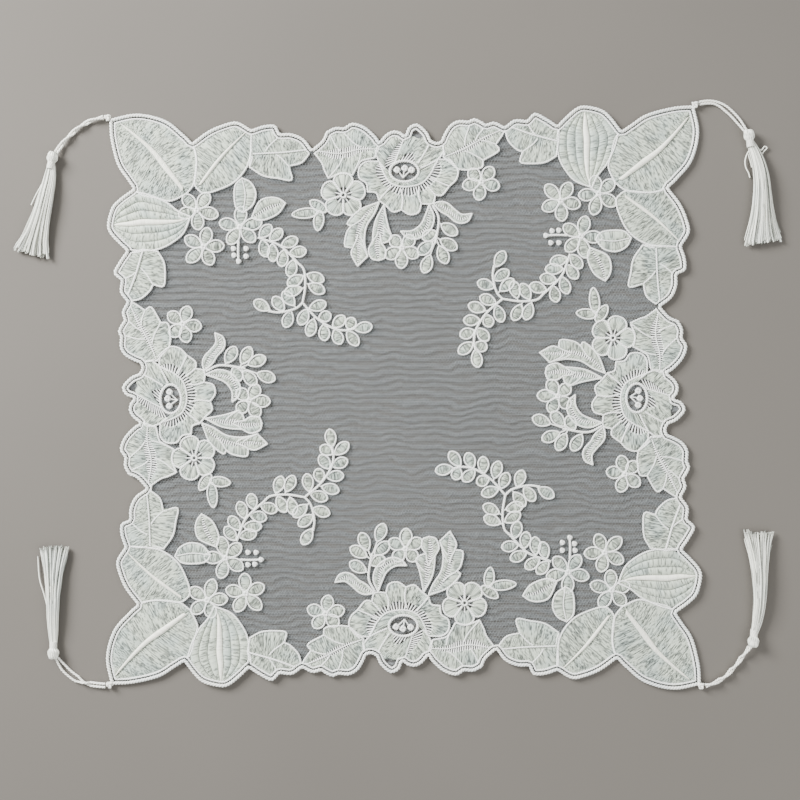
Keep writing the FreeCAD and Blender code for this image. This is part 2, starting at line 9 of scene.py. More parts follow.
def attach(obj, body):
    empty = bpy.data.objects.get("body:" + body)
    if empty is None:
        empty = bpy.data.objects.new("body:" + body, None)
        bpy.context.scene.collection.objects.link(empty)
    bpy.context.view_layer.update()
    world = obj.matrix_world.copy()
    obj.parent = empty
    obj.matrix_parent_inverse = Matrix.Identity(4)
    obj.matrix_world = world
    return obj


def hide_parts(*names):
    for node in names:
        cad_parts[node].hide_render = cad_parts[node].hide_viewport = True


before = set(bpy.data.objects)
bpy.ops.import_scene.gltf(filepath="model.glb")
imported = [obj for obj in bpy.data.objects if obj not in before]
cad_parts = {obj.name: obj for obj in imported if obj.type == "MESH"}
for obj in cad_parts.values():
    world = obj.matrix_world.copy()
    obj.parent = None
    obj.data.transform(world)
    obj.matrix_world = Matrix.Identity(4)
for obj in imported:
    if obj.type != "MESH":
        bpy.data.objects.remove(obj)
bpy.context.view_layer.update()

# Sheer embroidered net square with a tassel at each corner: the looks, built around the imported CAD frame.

rng = np.random.default_rng(7)
MM = 0.001
UP = np.array([0, 0, 1.0])

# ---------------------------------------------------------------- driving sizes, millimetres
STRETCH = (1.015, 0.985)        # the square lies slightly wider than it is long
HALF_SIDE = 147.0               # half the pattern's side, before the stretch
CORNER_SHIFT = {(-1, 1): (0.5, -1.3), (1, 1): (0.1, 3.2), (1, -1): (1.1, -2.7), (-1, -1): (-1.2, -0.1)}
QUARTERS = ("nw", "ne", "se", "sw")
SIDES = ("north", "east", "south", "west")

NET_BACK_Z = 0.15
NET_BACK_THICKNESS = 0.12
NET_FRONT_Z = 0.5
STITCH_Z = 0.55                 # where the stitches enter the front net
FILL_HEIGHT = 0.75
STITCH_PITCH = 0.52
RIDGE = 0.16                    # relief of one thread in a fill
EDGE_CORD_RADIUS = 0.85
OUTLINE_RADIUS = 0.5
OUTLINE_Z = 1.0
VEIN_Z = 1.25
STEM_RADIUS = 0.62
STALK_RADIUS = 0.38             # the thin threads of leaflets' stalks
OUTLINE_INSET = 2.75            # middle of a motif's outline, inside the cloth's edge
CORD_STRAND_RADIUS = 0.62
HEX_PITCH = 1.5
HEX_THREAD = 0.17
RIPPLE = 0.8                    # height of the cloth's slack waves

# ---------------------------------------------------------------- the pattern, one quarter of it
# Points are for the quarter at the north-west corner and the north side, and a quarter turn repeats them.
# A point given twice is a sharp corner; between corners the line is a smooth curve.
SCALLOPS = [
    (-147, 144.5), (-133, 147), (-119, 143.5), (-109.6, 136), (-105.5, 131.7), (-105.5, 131.7),
    (-97.5, 137.6), (-89.5, 141), (-83, 142), (-76, 138), (-76, 138), (-70, 140), (-64.2, 140),
    (-61.8, 135.8), (-61.8, 135.8), (-56, 135.7), (-50, 133), (-45.8, 127.6), (-45.8, 127.6), (-41, 132),
    (-39, 136.4), (-39, 136.4), (-34.5, 138.6), (-30, 138.4), (-30, 138.4), (-25.7, 140.7), (-19.4, 138.6),
    (-13.8, 133.5), (-12.4, 130.8), (-12.4, 130.8), (-9.2, 134.6), (-5.4, 136.4), (-1.7, 135.6),
    (0.4, 133.8), (0.4, 133.8), (2.2, 138), (6.5, 139.7), (11.4, 135.7), (13.5, 131.3), (13.5, 131.3),
    (16, 130.2), (18.3, 130.8), (18.3, 130.8), (19.7, 134.2), (22.5, 138.6), (26.7, 141), (32, 140.8),
    (32, 140.8), (35, 141.9), (38.6, 140.4), (40.6, 139), (40.6, 139), (45, 140), (50, 137.6), (50, 137.6),
    (55, 141), (61, 140.6), (61, 140.6), (65, 144.2), (70.8, 141.6), (76.3, 137.9), (76.3, 137.9),
    (79.8, 141.6), (85.3, 146.3), (90, 147.6), (98.4, 145.6), (103.2, 141.6), (108.3, 134.8), (108.3, 134.8),
    (113, 138), (121, 143), (134, 146.3), (144.5, 147), (144.5, 147),
]

# Leaves: the rib from the tip to the base, then what each side passes through on its way between those two.
LEAVES = {
    "corner_leaf": (
        [(-147, 144.5), (-140.3, 141), (-126.2, 128.6), (-117.6, 117.6), (-108.2, 105.3)],
        [(-133, 147), (-119, 143.5), (-109.6, 136), (-105.5, 131.7), (-103.3, 123), (-104.2, 111.5)],
        [(-146.3, 134), (-143, 121), (-136.2, 110.8), (-131, 105.3), (-123, 103.2), (-116.2, 101.8)]),
    "pointed_leaf": (
        [(-75.8, 138.5), (-79.2, 136.2), (-91, 124), (-103, 108)],
        [(-83, 142), (-89.5, 141), (-97.5, 137.6), (-105.5, 131.7), (-105.5, 131.7), (-103.3, 123),
         (-104.2, 111.5)],
        [(-76.2, 127), (-78.2, 119), (-84.2, 111.4), (-93, 107), (-99.6, 105.6)]),
    "striped_leaf": (
        [(-147.6, 90), (-127, 91), (-106.2, 93.5)],
        [(-145.6, 98.4), (-141.6, 103.2), (-136.2, 106.6), (-127, 105), (-118.2, 101), (-112.2, 96.3)],
        [(-146.3, 85.3), (-141.6, 79.8), (-136.2, 77), (-127.6, 76.3), (-121, 77.4), (-115, 80.5),
         (-109.6, 85.3)]),
    "small_leaf_a": (
        [(-138.3, 50.3), (-133.5, 63), (-129.5, 77)],
        [(-141, 55), (-140.6, 61), (-140.6, 61), (-144.3, 65), (-141.6, 70.8), (-137.6, 76.3),
         (-137.6, 76.3)],
        [(-131, 51.6), (-126.2, 55.7), (-124.6, 59), (-124.6, 59), (-119.5, 58), (-118.6, 63.3),
         (-119.2, 70.2), (-122.2, 75.7), (-122.2, 75.7)]),
    "small_leaf_b": (
        [(-46, 127.4), (-60, 126), (-76.4, 125.3)],
        [(-50, 133), (-56, 135.5), (-61.8, 135.5), (-61.8, 135.5), (-63.8, 140), (-70, 140), (-76, 138),
         (-76, 138)],
        [(-48.6, 123.3), (-51.6, 120.4), (-57.5, 119), (-57.5, 119), (-56, 112), (-62.8, 112.8),
         (-70, 114.2), (-76.8, 118.7), (-76.8, 118.7)]),
    "spray_leaf_a": (
        [(-80.6, 113), (-79, 104.5), (-80, 95.4)],
        [(-83.8, 109.6), (-84.4, 104), (-83.4, 98)],
        [(-76.2, 110.6), (-73.8, 105.4), (-75.2, 99.4)]),
    "spray_leaf_b": (
        [(-59, 100), (-67, 98), (-75.8, 92.6)],
        [(-62.4, 102.3), (-67, 102.9), (-72, 100.8)],
        [(-62.4, 95), (-67.6, 92.2), (-72, 91.4)]),
    "serrated_leaf_a": (
        [(-45.7, 127), (-32.7, 125), (-22, 127), (-12.8, 127)],
        [(-41, 132), (-39, 136.4), (-39, 136.4), (-34.5, 138.6), (-30, 138.4), (-30, 138.4), (-25.7, 140.5),
         (-19.4, 138.6), (-13.8, 133.5), (-12.4, 130.8)],
        [(-41, 120.6), (-39.7, 117), (-37.6, 112.6), (-37.6, 112.6), (-31.3, 114.8), (-25.7, 114),
         (-25.7, 114), (-22.9, 119), (-20.8, 121.3), (-14.5, 122.7), (-14.5, 122.7)]),
    "serrated_leaf_b": (
        [(50, 136.5), (39.3, 131.7), (30, 126.5), (19.7, 122.5)],
        [(45, 140), (40.6, 139), (40.6, 139), (38.6, 140.4), (35, 141.8), (32, 140.8), (32, 140.8),
         (26.7, 141), (22.5, 138.6), (19.7, 134.2), (18.5, 130), (18.5, 130), (19.9, 125.8)],
        [(49, 133.5), (45.6, 128.5), (45.6, 128.5), (47, 125.2), (39.3, 120.6), (39.3, 120.6), (38.6, 117),
         (32, 115.8), (26.7, 116.3), (26.7, 116.3)]),
    "feather_a": (
        [(-23, 67.6), (-22.5, 76), (-22.6, 85), (-18.6, 94), (-12.4, 100)],
        [(-26, 73.4), (-25.4, 77), (-25.4, 77), (-29.3, 78), (-28.4, 84.6), (-26.3, 87.8), (-26.3, 87.8),
         (-27.9, 89.8), (-22, 96.1)],
        [(-18, 72.5), (-18, 72.5), (-19.2, 76.4), (-19.2, 76.4), (-19.7, 81.3), (-18.6, 88), (-14.7, 94.4)]),
    "feather_b": (
        [(-12.6, 70.3), (-13.4, 78), (-12, 88), (-10, 98.4)],
        [(-9.4, 71.8), (-9.2, 75.8), (-11.2, 79), (-11.2, 79), (-8.1, 79.9), (-5.9, 82), (-5.9, 82),
         (-7.6, 86.6), (-8.8, 91.6)],
        [(-16, 71.4), (-17.5, 75.8), (-15.5, 80), (-15.5, 80), (-15, 86.3), (-13.6, 91.6)]),
    "curl_a": (
        [(-1.5, 85), (4.6, 83), (11, 86.6), (12.6, 98.4)],
        [(1.2, 82.1), (5.6, 81), (10.5, 83), (13.8, 86.8), (14.9, 92.3)],
        [(3.9, 85.2), (8.3, 88.2), (10.6, 92.8)]),
    "curl_b": (
        [(33.8, 93.6), (28, 91), (20.8, 96.4), (14.6, 99)],
        [(29, 93.2), (25.9, 95.2), (22, 98.7), (18.6, 99.8)],
        [(31.9, 90), (28.6, 88.8), (25.3, 89.8), (22.1, 92.6), (18.2, 95)]),
}

ROSE = [
    (-12.4, 130.8), (-9.2, 134.6), (-5.4, 136.4), (-1.7, 135.6), (0.4, 133.8), (0.4, 133.8), (2.2, 138),
    (6.5, 139.7), (11.4, 135.7), (13.5, 131.3), (13.5, 131.3), (18.3, 130), (19.7, 125.6), (17, 121.3),
    (17, 121.3), (22.5, 120.6), (26.7, 116.3), (26, 111.2), (22.5, 107.6), (22.5, 107.6), (19, 103.3),
    (15.6, 103.3), (15.6, 103.3), (14.2, 99), (8.6, 99), (8.6, 99), (7.2, 94.6), (2.9, 93.5), (-1.2, 96),
    (-1.2, 96), (-5.4, 95), (-8.9, 98.2), (-12.4, 101), (-12.4, 101), (-13.8, 104.7), (-18, 105.4),
    (-18, 105.4), (-18.7, 109.7), (-22.2, 112.6), (-22.2, 117.7), (-18.7, 120.6), (-12.4, 120.6),
    (-12.4, 120.6), (-14, 125.6), (-12.4, 130.8), (-12.4, 130.8),
]
CUP = [(-12, 120), (-9.4, 113.5), (-6.2, 109.4), (0.1, 107.6), (8, 109), (12.6, 113.2), (16.6, 120.6)]
EYE = (0.1, 115.5, 12, 8)           # the middle and the two widths of the rose's open eye

# Florets: the centre, then the centres of the petals.
FLORETS = {
    "floret_a": [(-103, 97), (-107.2, 101.8), (-108.5, 95.3), (-102.5, 90.5), (-95.9, 95), (-99.2, 102.5)],
    "floret_b": [(-99.6, 78), (-98.2, 84.2), (-105.5, 81.2), (-105, 73), (-97, 72.2), (-93, 78.4)],
    "floret_c": [(-81.5, 88), (-81.2, 95), (-88.2, 89.7), (-85.2, 82.5), (-76.8, 83.2), (-74.2, 89.7)],
    "floret_d": [(-0.9, 76.6), (-4, 79.8), (2.2, 79.8), (4, 74), (-1.2, 69.8), (-6, 73.7)],
    "floret_e": [(38.6, 109.7), (42, 114), (44, 108), (37.6, 104), (32.7, 108.3), (35, 113.3)],
}
BLOSSOM = (-30.2, 103.8, 11.2)      # its middle and its radius
STEMS = {
    "berry_stem": [(-82.2, 81.2), (-82.4, 76), (-82.2, 70.5)],
    "vine": [(-72.8, 82.6), (-62.8, 79), (-57.5, 74.6), (-52.8, 69.5), (-49.7, 65.8), (-49, 57.5),
             (-50.3, 49)],
    "branch_a": [(-50.3, 49), (-43.3, 41.2), (-35.7, 36.2), (-29.6, 34.8), (-24.2, 35.6)],
    "branch_b": [(-50.3, 49), (-54, 46), (-61.6, 44.2), (-67.4, 44.8)],
    "sprig": [(14.2, 98.2), (17.3, 91), (15.6, 78.7)],
}
BERRIES = [(-84.8, 77), (-78.5, 77), (-84.5, 73.6), (-78.5, 73), (-82.2, 70.5)]
# Leaflets: the middle of each; they grow out of the nearest stem.
VINE_LEAFLETS = [
    (-69, 85.6), (-63.8, 83.6), (-56.8, 80), (-52.8, 75), (-69.5, 77), (-65.2, 74.6), (-60.2, 72),
    (-55.8, 66.7), (-54, 60.4), (-55, 55.2), (-43.8, 61.8), (-43.3, 56.3), (-42.7, 47.4), (-39.5, 41.8),
    (-32.5, 39), (-26.5, 38), (-49.8, 41.8), (-46, 36.2), (-39.5, 34), (-33, 31.8), (-25.4, 30.7),
    (-57.3, 51.3), (-62.2, 48.5), (-57.5, 40.7), (-20, 36.2), (-70.6, 47.8),
]
SPRIG_LEAFLETS = [(22.6, 85.8), (22.3, 78.2), (19.4, 72.8), (11.4, 68.2), (10.6, 76.4), (13, 83)]
# The three leaflets beside the blossom: the base and tip of each.
TRIPLE = [(-38.6, 95.6), (-46.6, 101), (-42.6, 95.4), (-55.6, 94.1), (-41.8, 96), (-43, 85.8)]
# Lines that part the rose's petals, from the outline's notch inwards.
ROSE_FOLDS = [
    [(13.5, 131.3), (11, 126), (7, 119.5)],
    [(17, 121.3), (14.2, 116.3)],
    [(17, 121.3), (12.4, 118.8), (8.2, 117)],
    [(22.5, 107.6), (18, 109.5), (13, 112)],
    [(15.6, 103.3), (11.5, 108)],
    [(8.6, 99), (7.4, 103), (7.5, 107.5)],
    [(-1.2, 96), (-0.6, 101), (-1.5, 106.4)],
    [(-12.4, 101), (-9, 105), (-6.4, 108)],
    [(-12.4, 120.6), (-9.6, 117)],
]

# ---------------------------------------------------------------- the tassels, on the finished square
# cord: the points that control the curve of part.py's cord. half_width: half the skirt's width at its end.
# bow: how far the skirt's middle bends away from the straight line between the head and the tip.
TASSELS = {
    "nw": {"knot": (-149.4, 141.6), "tip": (-187.8, 72.8), "half_width": 8.8, "bow": 1.0,
           "cord": [(-151.7, 141.7, 2.0), (-157.4, 140.6, 1.5), (-163.6, 137.2, 1.4), (-169.2, 132.2, 1.4),
                    (-173.6, 126.9, 1.9), (-175.3, 123.9, 2.7)]},
    "ne": {"knot": (147.2, 148.2), "tip": (181.6, 78.4), "half_width": 9.3, "bow": 3.4,
           "cord": [(149.4, 148.9, 2.0), (154.3, 150.0, 1.5), (160.0, 148.6, 1.4), (165.4, 144.4, 1.4),
                    (170.0, 139.0, 1.9), (172.4, 135.0, 2.7)]},
    "se": {"knot": (150.2, -145.2), "tip": (179.4, -67.4), "half_width": 7.4, "bow": -2.2,
           "cord": [(152.5, -145.3, 2.0), (158.0, -143.9, 1.5), (164.0, -139.6, 1.4), (169.2, -133.4, 1.4),
                    (172.6, -128.6, 1.9), (174.6, -125.3, 2.7)]},
    "sw": {"knot": (-148.4, -144.8), "tip": (-176.2, -75.2), "half_width": 7.2, "bow": 0.4,
           "cord": [(-150.7, -145.2, 2.0), (-156.6, -145.0, 1.5), (-163.4, -143.2, 1.4),
                    (-169.4, -138.9, 1.4), (-173.0, -134.6, 1.9), (-174.9, -131.2, 2.7)]},
}
JOINT_GAP = 0.3                 # free space between the cord's end and the head
HEAD_RADIUS = 2.9
NECK_START = 2.5                # from the middle of the head to the neck wrap
NECK_RADIUS = 1.5
WRAP_LENGTH = 3.4


# ---------------------------------------------------------------- lines
def place(points, turns):
    """Pattern points turned by quarter turns (clockwise), stretched, and pulled slightly out of square."""
    p = np.array(points, float)[:, :2]
    for _ in range(turns):
        p = np.stack([p[:, 1], -p[:, 0]], 1)
    unit = p / HALF_SIDE
    out = p * STRETCH
    for (east, north), shift in CORNER_SHIFT.items():
        share = (1 + east * unit[:, 0]) * (1 + north * unit[:, 1]) / 4
        out += share[:, None] * np.array(shift)
    return out


def catmull(p, per_span=10):
    """A smooth curve through the points."""
    if len(p) < 3:
        return p
    ends = np.vstack([2 * p[0] - p[1], p, 2 * p[-1] - p[-2]])
    t = np.linspace(0, 1, per_span, endpoint=False)[:, None]
    spans = []
    for a, b, c, d in zip(ends, ends[1:], ends[2:], ends[3:]):
        spans.append(0.5 * (2 * b + (c - a) * t + (2 * a - 5 * b + 4 * c - d) * t ** 2
                            + (3 * b - a - 3 * c + d) * t ** 3))
    return np.vstack(spans + [p[-1:]])


def smooth(points):
    """A line through the points, smooth between its sharp corners."""
    stretches = [[points[0]]]
    for point in points[1:]:
        if point == stretches[-1][-1]:
            stretches.append([])
        stretches[-1].append(point)
    lines = [catmull(np.array(s, float)) for s in stretches if len(s) > 1]
    return np.vstack([lines[0]] + [line[1:] for line in lines[1:]])


def distances(line):
    return np.concatenate([[0], np.cumsum(np.linalg.norm(np.diff(line, axis=0), axis=1))])


def cut_line(line, start, end, count):
    """Evenly spaced points on the stretch of the line between two shares of its length."""
    s = distances(line)
    at = np.linspace(start, end, count) * s[-1]
    return np.stack([np.interp(at, s, line[:, k]) for k in range(line.shape[1])], 1)


def edge_outline():
    """The cloth's whole edge: four times the scallops of one side, as evenly spaced points."""
    lines = [place(smooth(SCALLOPS), turns)[:-1] for turns in range(4)]
    ring = np.vstack(lines)
    closed = np.vstack([ring, ring[:1]])
    return cut_line(closed, 0, 1, 1800)[:-1]


OUTLINE = edge_outline()
OUTLINE_NORMAL = np.roll(OUTLINE, -1, 0) - np.roll(OUTLINE, 1, 0)
OUTLINE_NORMAL = np.stack([OUTLINE_NORMAL[:, 1], -OUTLINE_NORMAL[:, 0]], 1)
OUTLINE_NORMAL /= np.linalg.norm(OUTLINE_NORMAL, axis=1)[:, None]
CLEAR_OF_EDGE = 120.0           # the cloth's edge is nowhere nearer than this to the middle of the square


def keep_inside(line, depth):
    """Moves the points that are nearer to the cloth's edge than depth, or past it, in to that depth."""
    line = line.copy()
    if np.abs(line).max() < CLEAR_OF_EDGE:
        return line
    for _ in range(3):
        gap = line[:, None, :] - OUTLINE[None]
        nearest = np.argmin((gap ** 2).sum(2), axis=1)
        offset = line - OUTLINE[nearest]
        inward = OUTLINE_NORMAL[nearest]
        inside = (offset * inward).sum(1)
        distance = np.linalg.norm(offset, axis=1) * np.sign(inside)
        short = distance < depth
        line[short] = OUTLINE[nearest[short]] + inward[short] * depth
    return line


def motif_line(points, turns):
    return keep_inside(place(smooth(points), turns), OUTLINE_INSET)


MOST_AT_ONCE = 8000             # points tested together, which bounds the memory that it takes


def inside_polygon(points, polygon):
    """Which of the points are inside the closed polygon."""
    if len(points) > MOST_AT_ONCE:
        parts = np.array_split(points, len(points) // MOST_AT_ONCE + 1)
        return np.concatenate([inside_polygon(part, polygon) for part in parts])
    x, y = points[:, 0][:, None], points[:, 1][:, None]
    x1, y1 = polygon[:, 0][None], polygon[:, 1][None]
    x2, y2 = np.roll(x1, -1, 1), np.roll(y1, -1, 1)
    crosses = (y1 > y) != (y2 > y)
    rise = np.where(y2 == y1, 1e-9, y2 - y1)
    return (crosses & (x < (x2 - x1) * (y - y1) / rise + x1)).sum(1) % 2 == 1


def ripple(x, y):
    """Height of the slack cloth's long, low waves; the corners and the table hold it down."""
    wave = 0.5 + 0.25 * np.sin(x / 23 + 0.8 * np.sin(y / 41)) + 0.25 * np.sin(y / 29 + x / 57 + 1.3)
    corner = np.minimum(np.hypot(np.abs(x) - 149, np.abs(y) - 144) / 45, 1)
    return RIPPLE * wave * corner ** 2


# ---------------------------------------------------------------- meshes
# Kinds of thread in a motif, in the order of MOTIF_THREADS: its fill, its outlines and stems, its satin rib.
FILLED, CORDED, RIBBED = 0, 1, 2


class Cloth:
    """Collects one piece's faces; shade is each point's painted shade, from 0 in a valley to 1 on a crest,
    with some threads' own random tone mixed in.
    """

    def __init__(self):
        self.points, self.faces, self.shades, self.kinds, self.count = [], [], [], [], 0

    def add(self, points, faces, shade, kind=FILLED):
        points = np.asarray(points, float).reshape(-1, 3)
        self.points.append(points)
        self.shades.append(np.broadcast_to(np.asarray(shade, float).ravel(), (len(points),)))
        self.faces += [[i + self.count for i in f] for f in faces]
        self.kinds += [kind] * len(faces)
        self.count += len(points)

    def piece(self, name, materials, follow_ripple=True, smooth_faces=True):
        """Makes the object; where it has several materials, each face takes the one of its kind."""
        points = np.vstack(self.points)
        if follow_ripple:
            points[:, 2] += ripple(points[:, 0], points[:, 1])
        mesh = bpy.data.meshes.new(name)
        mesh.from_pydata((points * MM).tolist(), [], self.faces)
        shade = mesh.attributes.new("shade", "FLOAT", "POINT")
        shade.data.foreach_set("value", np.concatenate(self.shades).astype(np.float32))
        if smooth_faces:
            mesh.polygons.foreach_set("use_smooth", np.ones(len(mesh.polygons), bool))
        for material in materials:
            mesh.materials.append(material)
        if len(materials) > 1:
            mesh.polygons.foreach_set("material_index", self.kinds)
        mesh.validate()
        mesh.update()
        obj = bpy.data.objects.new(name, mesh)
        bpy.context.scene.collection.objects.link(obj)
        return obj


def finish_piece(cloth, node, ending, materials, body="cloth"):
    """Makes the piece that stands for a CAD node. Only what rides with the cloth follows its ripple."""
    piece = cloth.piece(f"{node}_{ending}", materials, follow_ripple=body == "cloth")
    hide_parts(node)
    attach(piece, body)
    return piece


def grid_faces(columns, rows, closed_columns=False, closed_rows=False):
    """The faces of a grid of points that are numbered column by column."""
    index = np.arange(columns * rows).reshape(columns, rows)
    if closed_columns:
        index = np.vstack([index, index[:1]])
    if closed_rows:
        index = np.hstack([index, index[:, :1]])
    quads = np.stack([index[:-1, :-1], index[1:, :-1], index[1:, 1:], index[:-1, 1:]], -1)
    return quads.reshape(-1, 4).tolist()


def tube(cloth, line, radii, shade, closed=False):
    """A tube round a 3-D line; radii holds a radius for each point of each section."""
    count, sides = radii.shape
    if closed:
        tangent = np.roll(line, -1, 0) - np.roll(line, 1, 0)
    else:
        tangent = np.gradient(line, axis=0)
    tangent /= np.maximum(np.linalg.norm(tangent, axis=1), 1e-9)[:, None]
    side = np.cross(tangent, UP)
    side /= np.maximum(np.linalg.norm(side, axis=1), 1e-9)[:, None]
    up = np.cross(side, tangent)
    angle = np.linspace(0, 2 * math.pi, sides, endpoint=False)
    ring = np.cos(angle)[None, :, None] * side[:, None] + np.sin(angle)[None, :, None] * up[:, None]
    points = line[:, None] + ring * radii[:, :, None]
    faces = grid_faces(count, sides, closed_columns=closed, closed_rows=True)
    if not closed:
        faces.append(list(range(sides - 1, -1, -1)))
        faces.append(list(range((count - 1) * sides, count * sides)))
    cloth.add(points, faces, shade, CORDED)


PLY_DEPTH = 0.3                 # depth of the grooves between a thread's plies, as a share of its radius


def rope(cloth, line, radius, height=0.0, lay=1.3, closed=False, sides=8, step=0.3):
    """A twisted thread: its plies show as slanting ridges. A flat line lies at the given height.
    lay is the length of one ridge's turn, step the length of one section."""
    if line.shape[1] == 2:
        line = np.column_stack([line, np.full(len(line), height)])
    if closed:
        line = np.vstack([line, line[:1]])
    length = distances(line)[-1]
    count = max(6, int(length / step))
    line = cut_line(line, 0, 1, count + closed)
    if closed:
        line = line[:-1]
    along = np.arange(count) * length / count
    turns = max(1, round(length / lay)) if closed else length / lay
    angle = np.linspace(0, 2 * math.pi, sides, endpoint=False)
    phase = 2 * angle[None] - 2 * math.pi * turns * along[:, None] / length
    crest = 0.5 + 0.5 * np.cos(phase)
    unevenness = 1 + 0.05 * rng.standard_normal(count)
    radii = radius * (1.04 - PLY_DEPTH + PLY_DEPTH * crest) * unevenness[:, None]
    # painted shade in the grooves between the plies, full colour on their ridges
    tube(cloth, line, radii, 0.3 + 0.7 * crest, closed=closed)


# The same profile also sets the painted shade across each thread: darkest in the valley, full colour on the
# crest.
STITCH_PROFILE = (0.0, 0.8, 1.0, 0.8)   # one thread's relief across it, as shares of RIDGE
FULL_WIDTH = 2.2                # a fill that is at least this wide has its whole height
MOST_ROWS = 30                  # most rows of points along a thread
SUNKEN_SHARE = 0.3              # share of a fill's thread that lies low, painted dark as if in its neighbours' shade
SUNKEN_ROWS = 3                 # rows in one sunken length
SLIT_SHARE = 0.14               # share of the valleys between threads that gape, painted dark as shade
LEVEL_SPREAD = 0.04             # how far threads differ in height
SUNKEN_LEVEL = -2.5             # in those spreads
SLIT_DEPTH = 0.3
HOLE_DEPTH = 0.16


def satin(cloth, a, b, height=FILL_HEIGHT, base=STITCH_Z, pitch=STITCH_PITCH, slant=0.0, trim=0.012,
          split=0.0, slits=SLIT_SHARE, sunken=SUNKEN_SHARE, kind=FILLED):
    """A padded fill of parallel threads from line a to line b, closed underneath.
    slant leads the b end on by a share of the length, and trim leaves a share of it free at both ends.
    split is the spacing of the needle holes in long stitches, 0 for none."""
    length = (distances(a)[-1] + distances(b)[-1]) / 2
    stitches = max(3, int(length / pitch))
    columns = stitches * len(STITCH_PROFILE) + 1
    a = cut_line(a, trim, 1 - trim - slant, columns)
    b = cut_line(b, trim + slant, 1 - trim, columns)
    width = np.linalg.norm(b - a, axis=1)
    row_step = 0.8 if split else 1.4
    rows = int(np.clip(width.max() / row_step, 5, MOST_ROWS)) + 1
    v = 0.5 - 0.5 * np.cos(math.pi * np.linspace(0, 1, rows))
    stitch = np.arange(columns) // len(STITCH_PROFILE)
    ridge = np.array([STITCH_PROFILE[i % len(STITCH_PROFILE)] for i in range(columns)])
    low = rng.random((stitches + 1, rows // SUNKEN_ROWS + 2)) < sunken
    low = np.repeat(low, SUNKEN_ROWS, axis=1)[:, 1:rows + 1]
    tone_and_sunken_shade = np.where(low, -0.75, rng.uniform(0, 1, (stitches + 1, 1)))[stitch]
    level = np.where(low, SUNKEN_LEVEL, rng.uniform(-1, 1, (stitches + 1, 1)))[stitch]
    dome = np.clip(np.sin(math.pi * v), 0, 1) ** 0.45
    crown = height * np.clip(width / FULL_WIDTH, 0.35, 1)
    z = base + dome[None] * (crown[:, None] + level * LEVEL_SPREAD)
    z += RIDGE * ridge[:, None] * dome[None]
    # painted shade: dark in the valleys between threads and on the sunken threads, light on the crests; the
    # rest is each thread's own random tone
    shade = 0.2 + 0.45 * ridge[:, None] + 0.35 * tone_and_sunken_shade
    if slits:
        open_here = (rng.random((stitches + 1, rows)) < slits)[stitch] & (ridge < 0.9)[:, None]
        z -= SLIT_DEPTH * open_here * dome[None]
        # painted shade: a gaping slit takes the darkest valley colour
        shade = np.where(open_here, 0.0, shade)
    if split:
        along = v[None] * width[:, None] / split + (stitch[:, None] % 3) / 3 + 0.15 * tone_and_sunken_shade[:, :1]
        hole = np.clip(1 - np.abs((along % 1) - 0.5) / 0.16, 0, 1)
        z -= HOLE_DEPTH * hole * dome[None]
        # painted shade in the needle holes
        shade -= 0.35 * hole
    xy = a[:, None] * (1 - v)[None, :, None] + b[:, None] * v[None, :, None]
    points = np.concatenate([xy, z[:, :, None]], 2)
    faces = grid_faces(columns, rows)
    last = (columns - 1) * rows
    for i in range(columns - 1):
        faces.append([i * rows, i * rows + rows - 1, (i + 1) * rows + rows - 1, (i + 1) * rows])
    faces.append(list(range(rows)))
    faces.append(list(range(last + rows - 1, last - 1, -1)))
    cloth.add(points, faces, np.clip(shade, 0, 1), kind)


def bars(cloth, a, b, reach, pitch=1.15, radius=0.3):
    """Single threads with open net between them: the comb of slits beside a rib.
    reach is their share of the way from a to b, one number or a list along the line."""
    count = max(3, int(distances(a)[-1] / pitch))
    a = cut_line(a, 0.03, 0.97, count)
    b = cut_line(b, 0.03, 0.97, count)
    reach = np.atleast_1d(reach)
    reach = np.interp(np.linspace(0, 1, count), np.linspace(0, 1, len(reach)), reach)
    t = np.linspace(0, 1, 4)[:, None]
    for start, end, share in zip(a, b, reach):
        stop = start + (end - start) * share
        line = np.column_stack([start * (1 - t) + stop * t, STITCH_Z + 0.25 + 0.15 * np.sin(math.pi * t)])
        tube(cloth, line, np.full((4, 5), radius), 0.75)


def soften(line):
    """The line with its kinks rounded off, its ends kept."""
    reach = 12
    weights = np.hanning(2 * reach + 3)[1:-1]
    padded = np.vstack([2 * line[0] - line[reach:0:-1], line, 2 * line[-1] - line[-2:-reach - 2:-1]])
    columns = [np.convolve(padded[:, k], weights / weights.sum(), "valid") for k in range(line.shape[1])]
    return np.stack(columns, 1)


def between(a, b, share, count):
    """The line that lies a share of the way from line a to line b."""
    a, b = cut_line(a, 0, 1, count), cut_line(b, 0, 1, count)
    return a * (1 - share) + b * share


# ---------------------------------------------------------------- motifs
COVERS = []     # the outline of every motif, under which the front net is left out


def outline_of(a, b):
    return np.vstack([a, b[::-1][1:-1]])


def outlined(cloth, outline):
    """Lays a motif's raised outline."""
    rope(cloth, outline, OUTLINE_RADIUS, OUTLINE_Z, closed=True)
    COVERS.append(outline)


BUD_BLUNTNESS = 0.55            # power of a sine; the lower, the blunter the two ends
BUD_FILL = 0.78                 # share of a bud's width that its fill takes
BUD_OUTLINE_RADIUS = 0.45


def bud_sides(base, tip, width, fullness):
    """The two sides, tip to base, of a small petal or leaflet that is widest past its middle."""
    base, tip = np.array(base, float), np.array(tip, float)
    axis = tip - base
    normal = np.array([-axis[1], axis[0]]) / np.linalg.norm(axis)
    t = 0.5 + 0.5 * np.cos(np.linspace(0, math.pi, 24))
    half = width / 2 * np.clip(np.sin(math.pi * t ** fullness), 0, 1) ** BUD_BLUNTNESS
    middle = base + axis * t[:, None]
    return middle + normal * half[:, None], middle - normal * half[:, None]


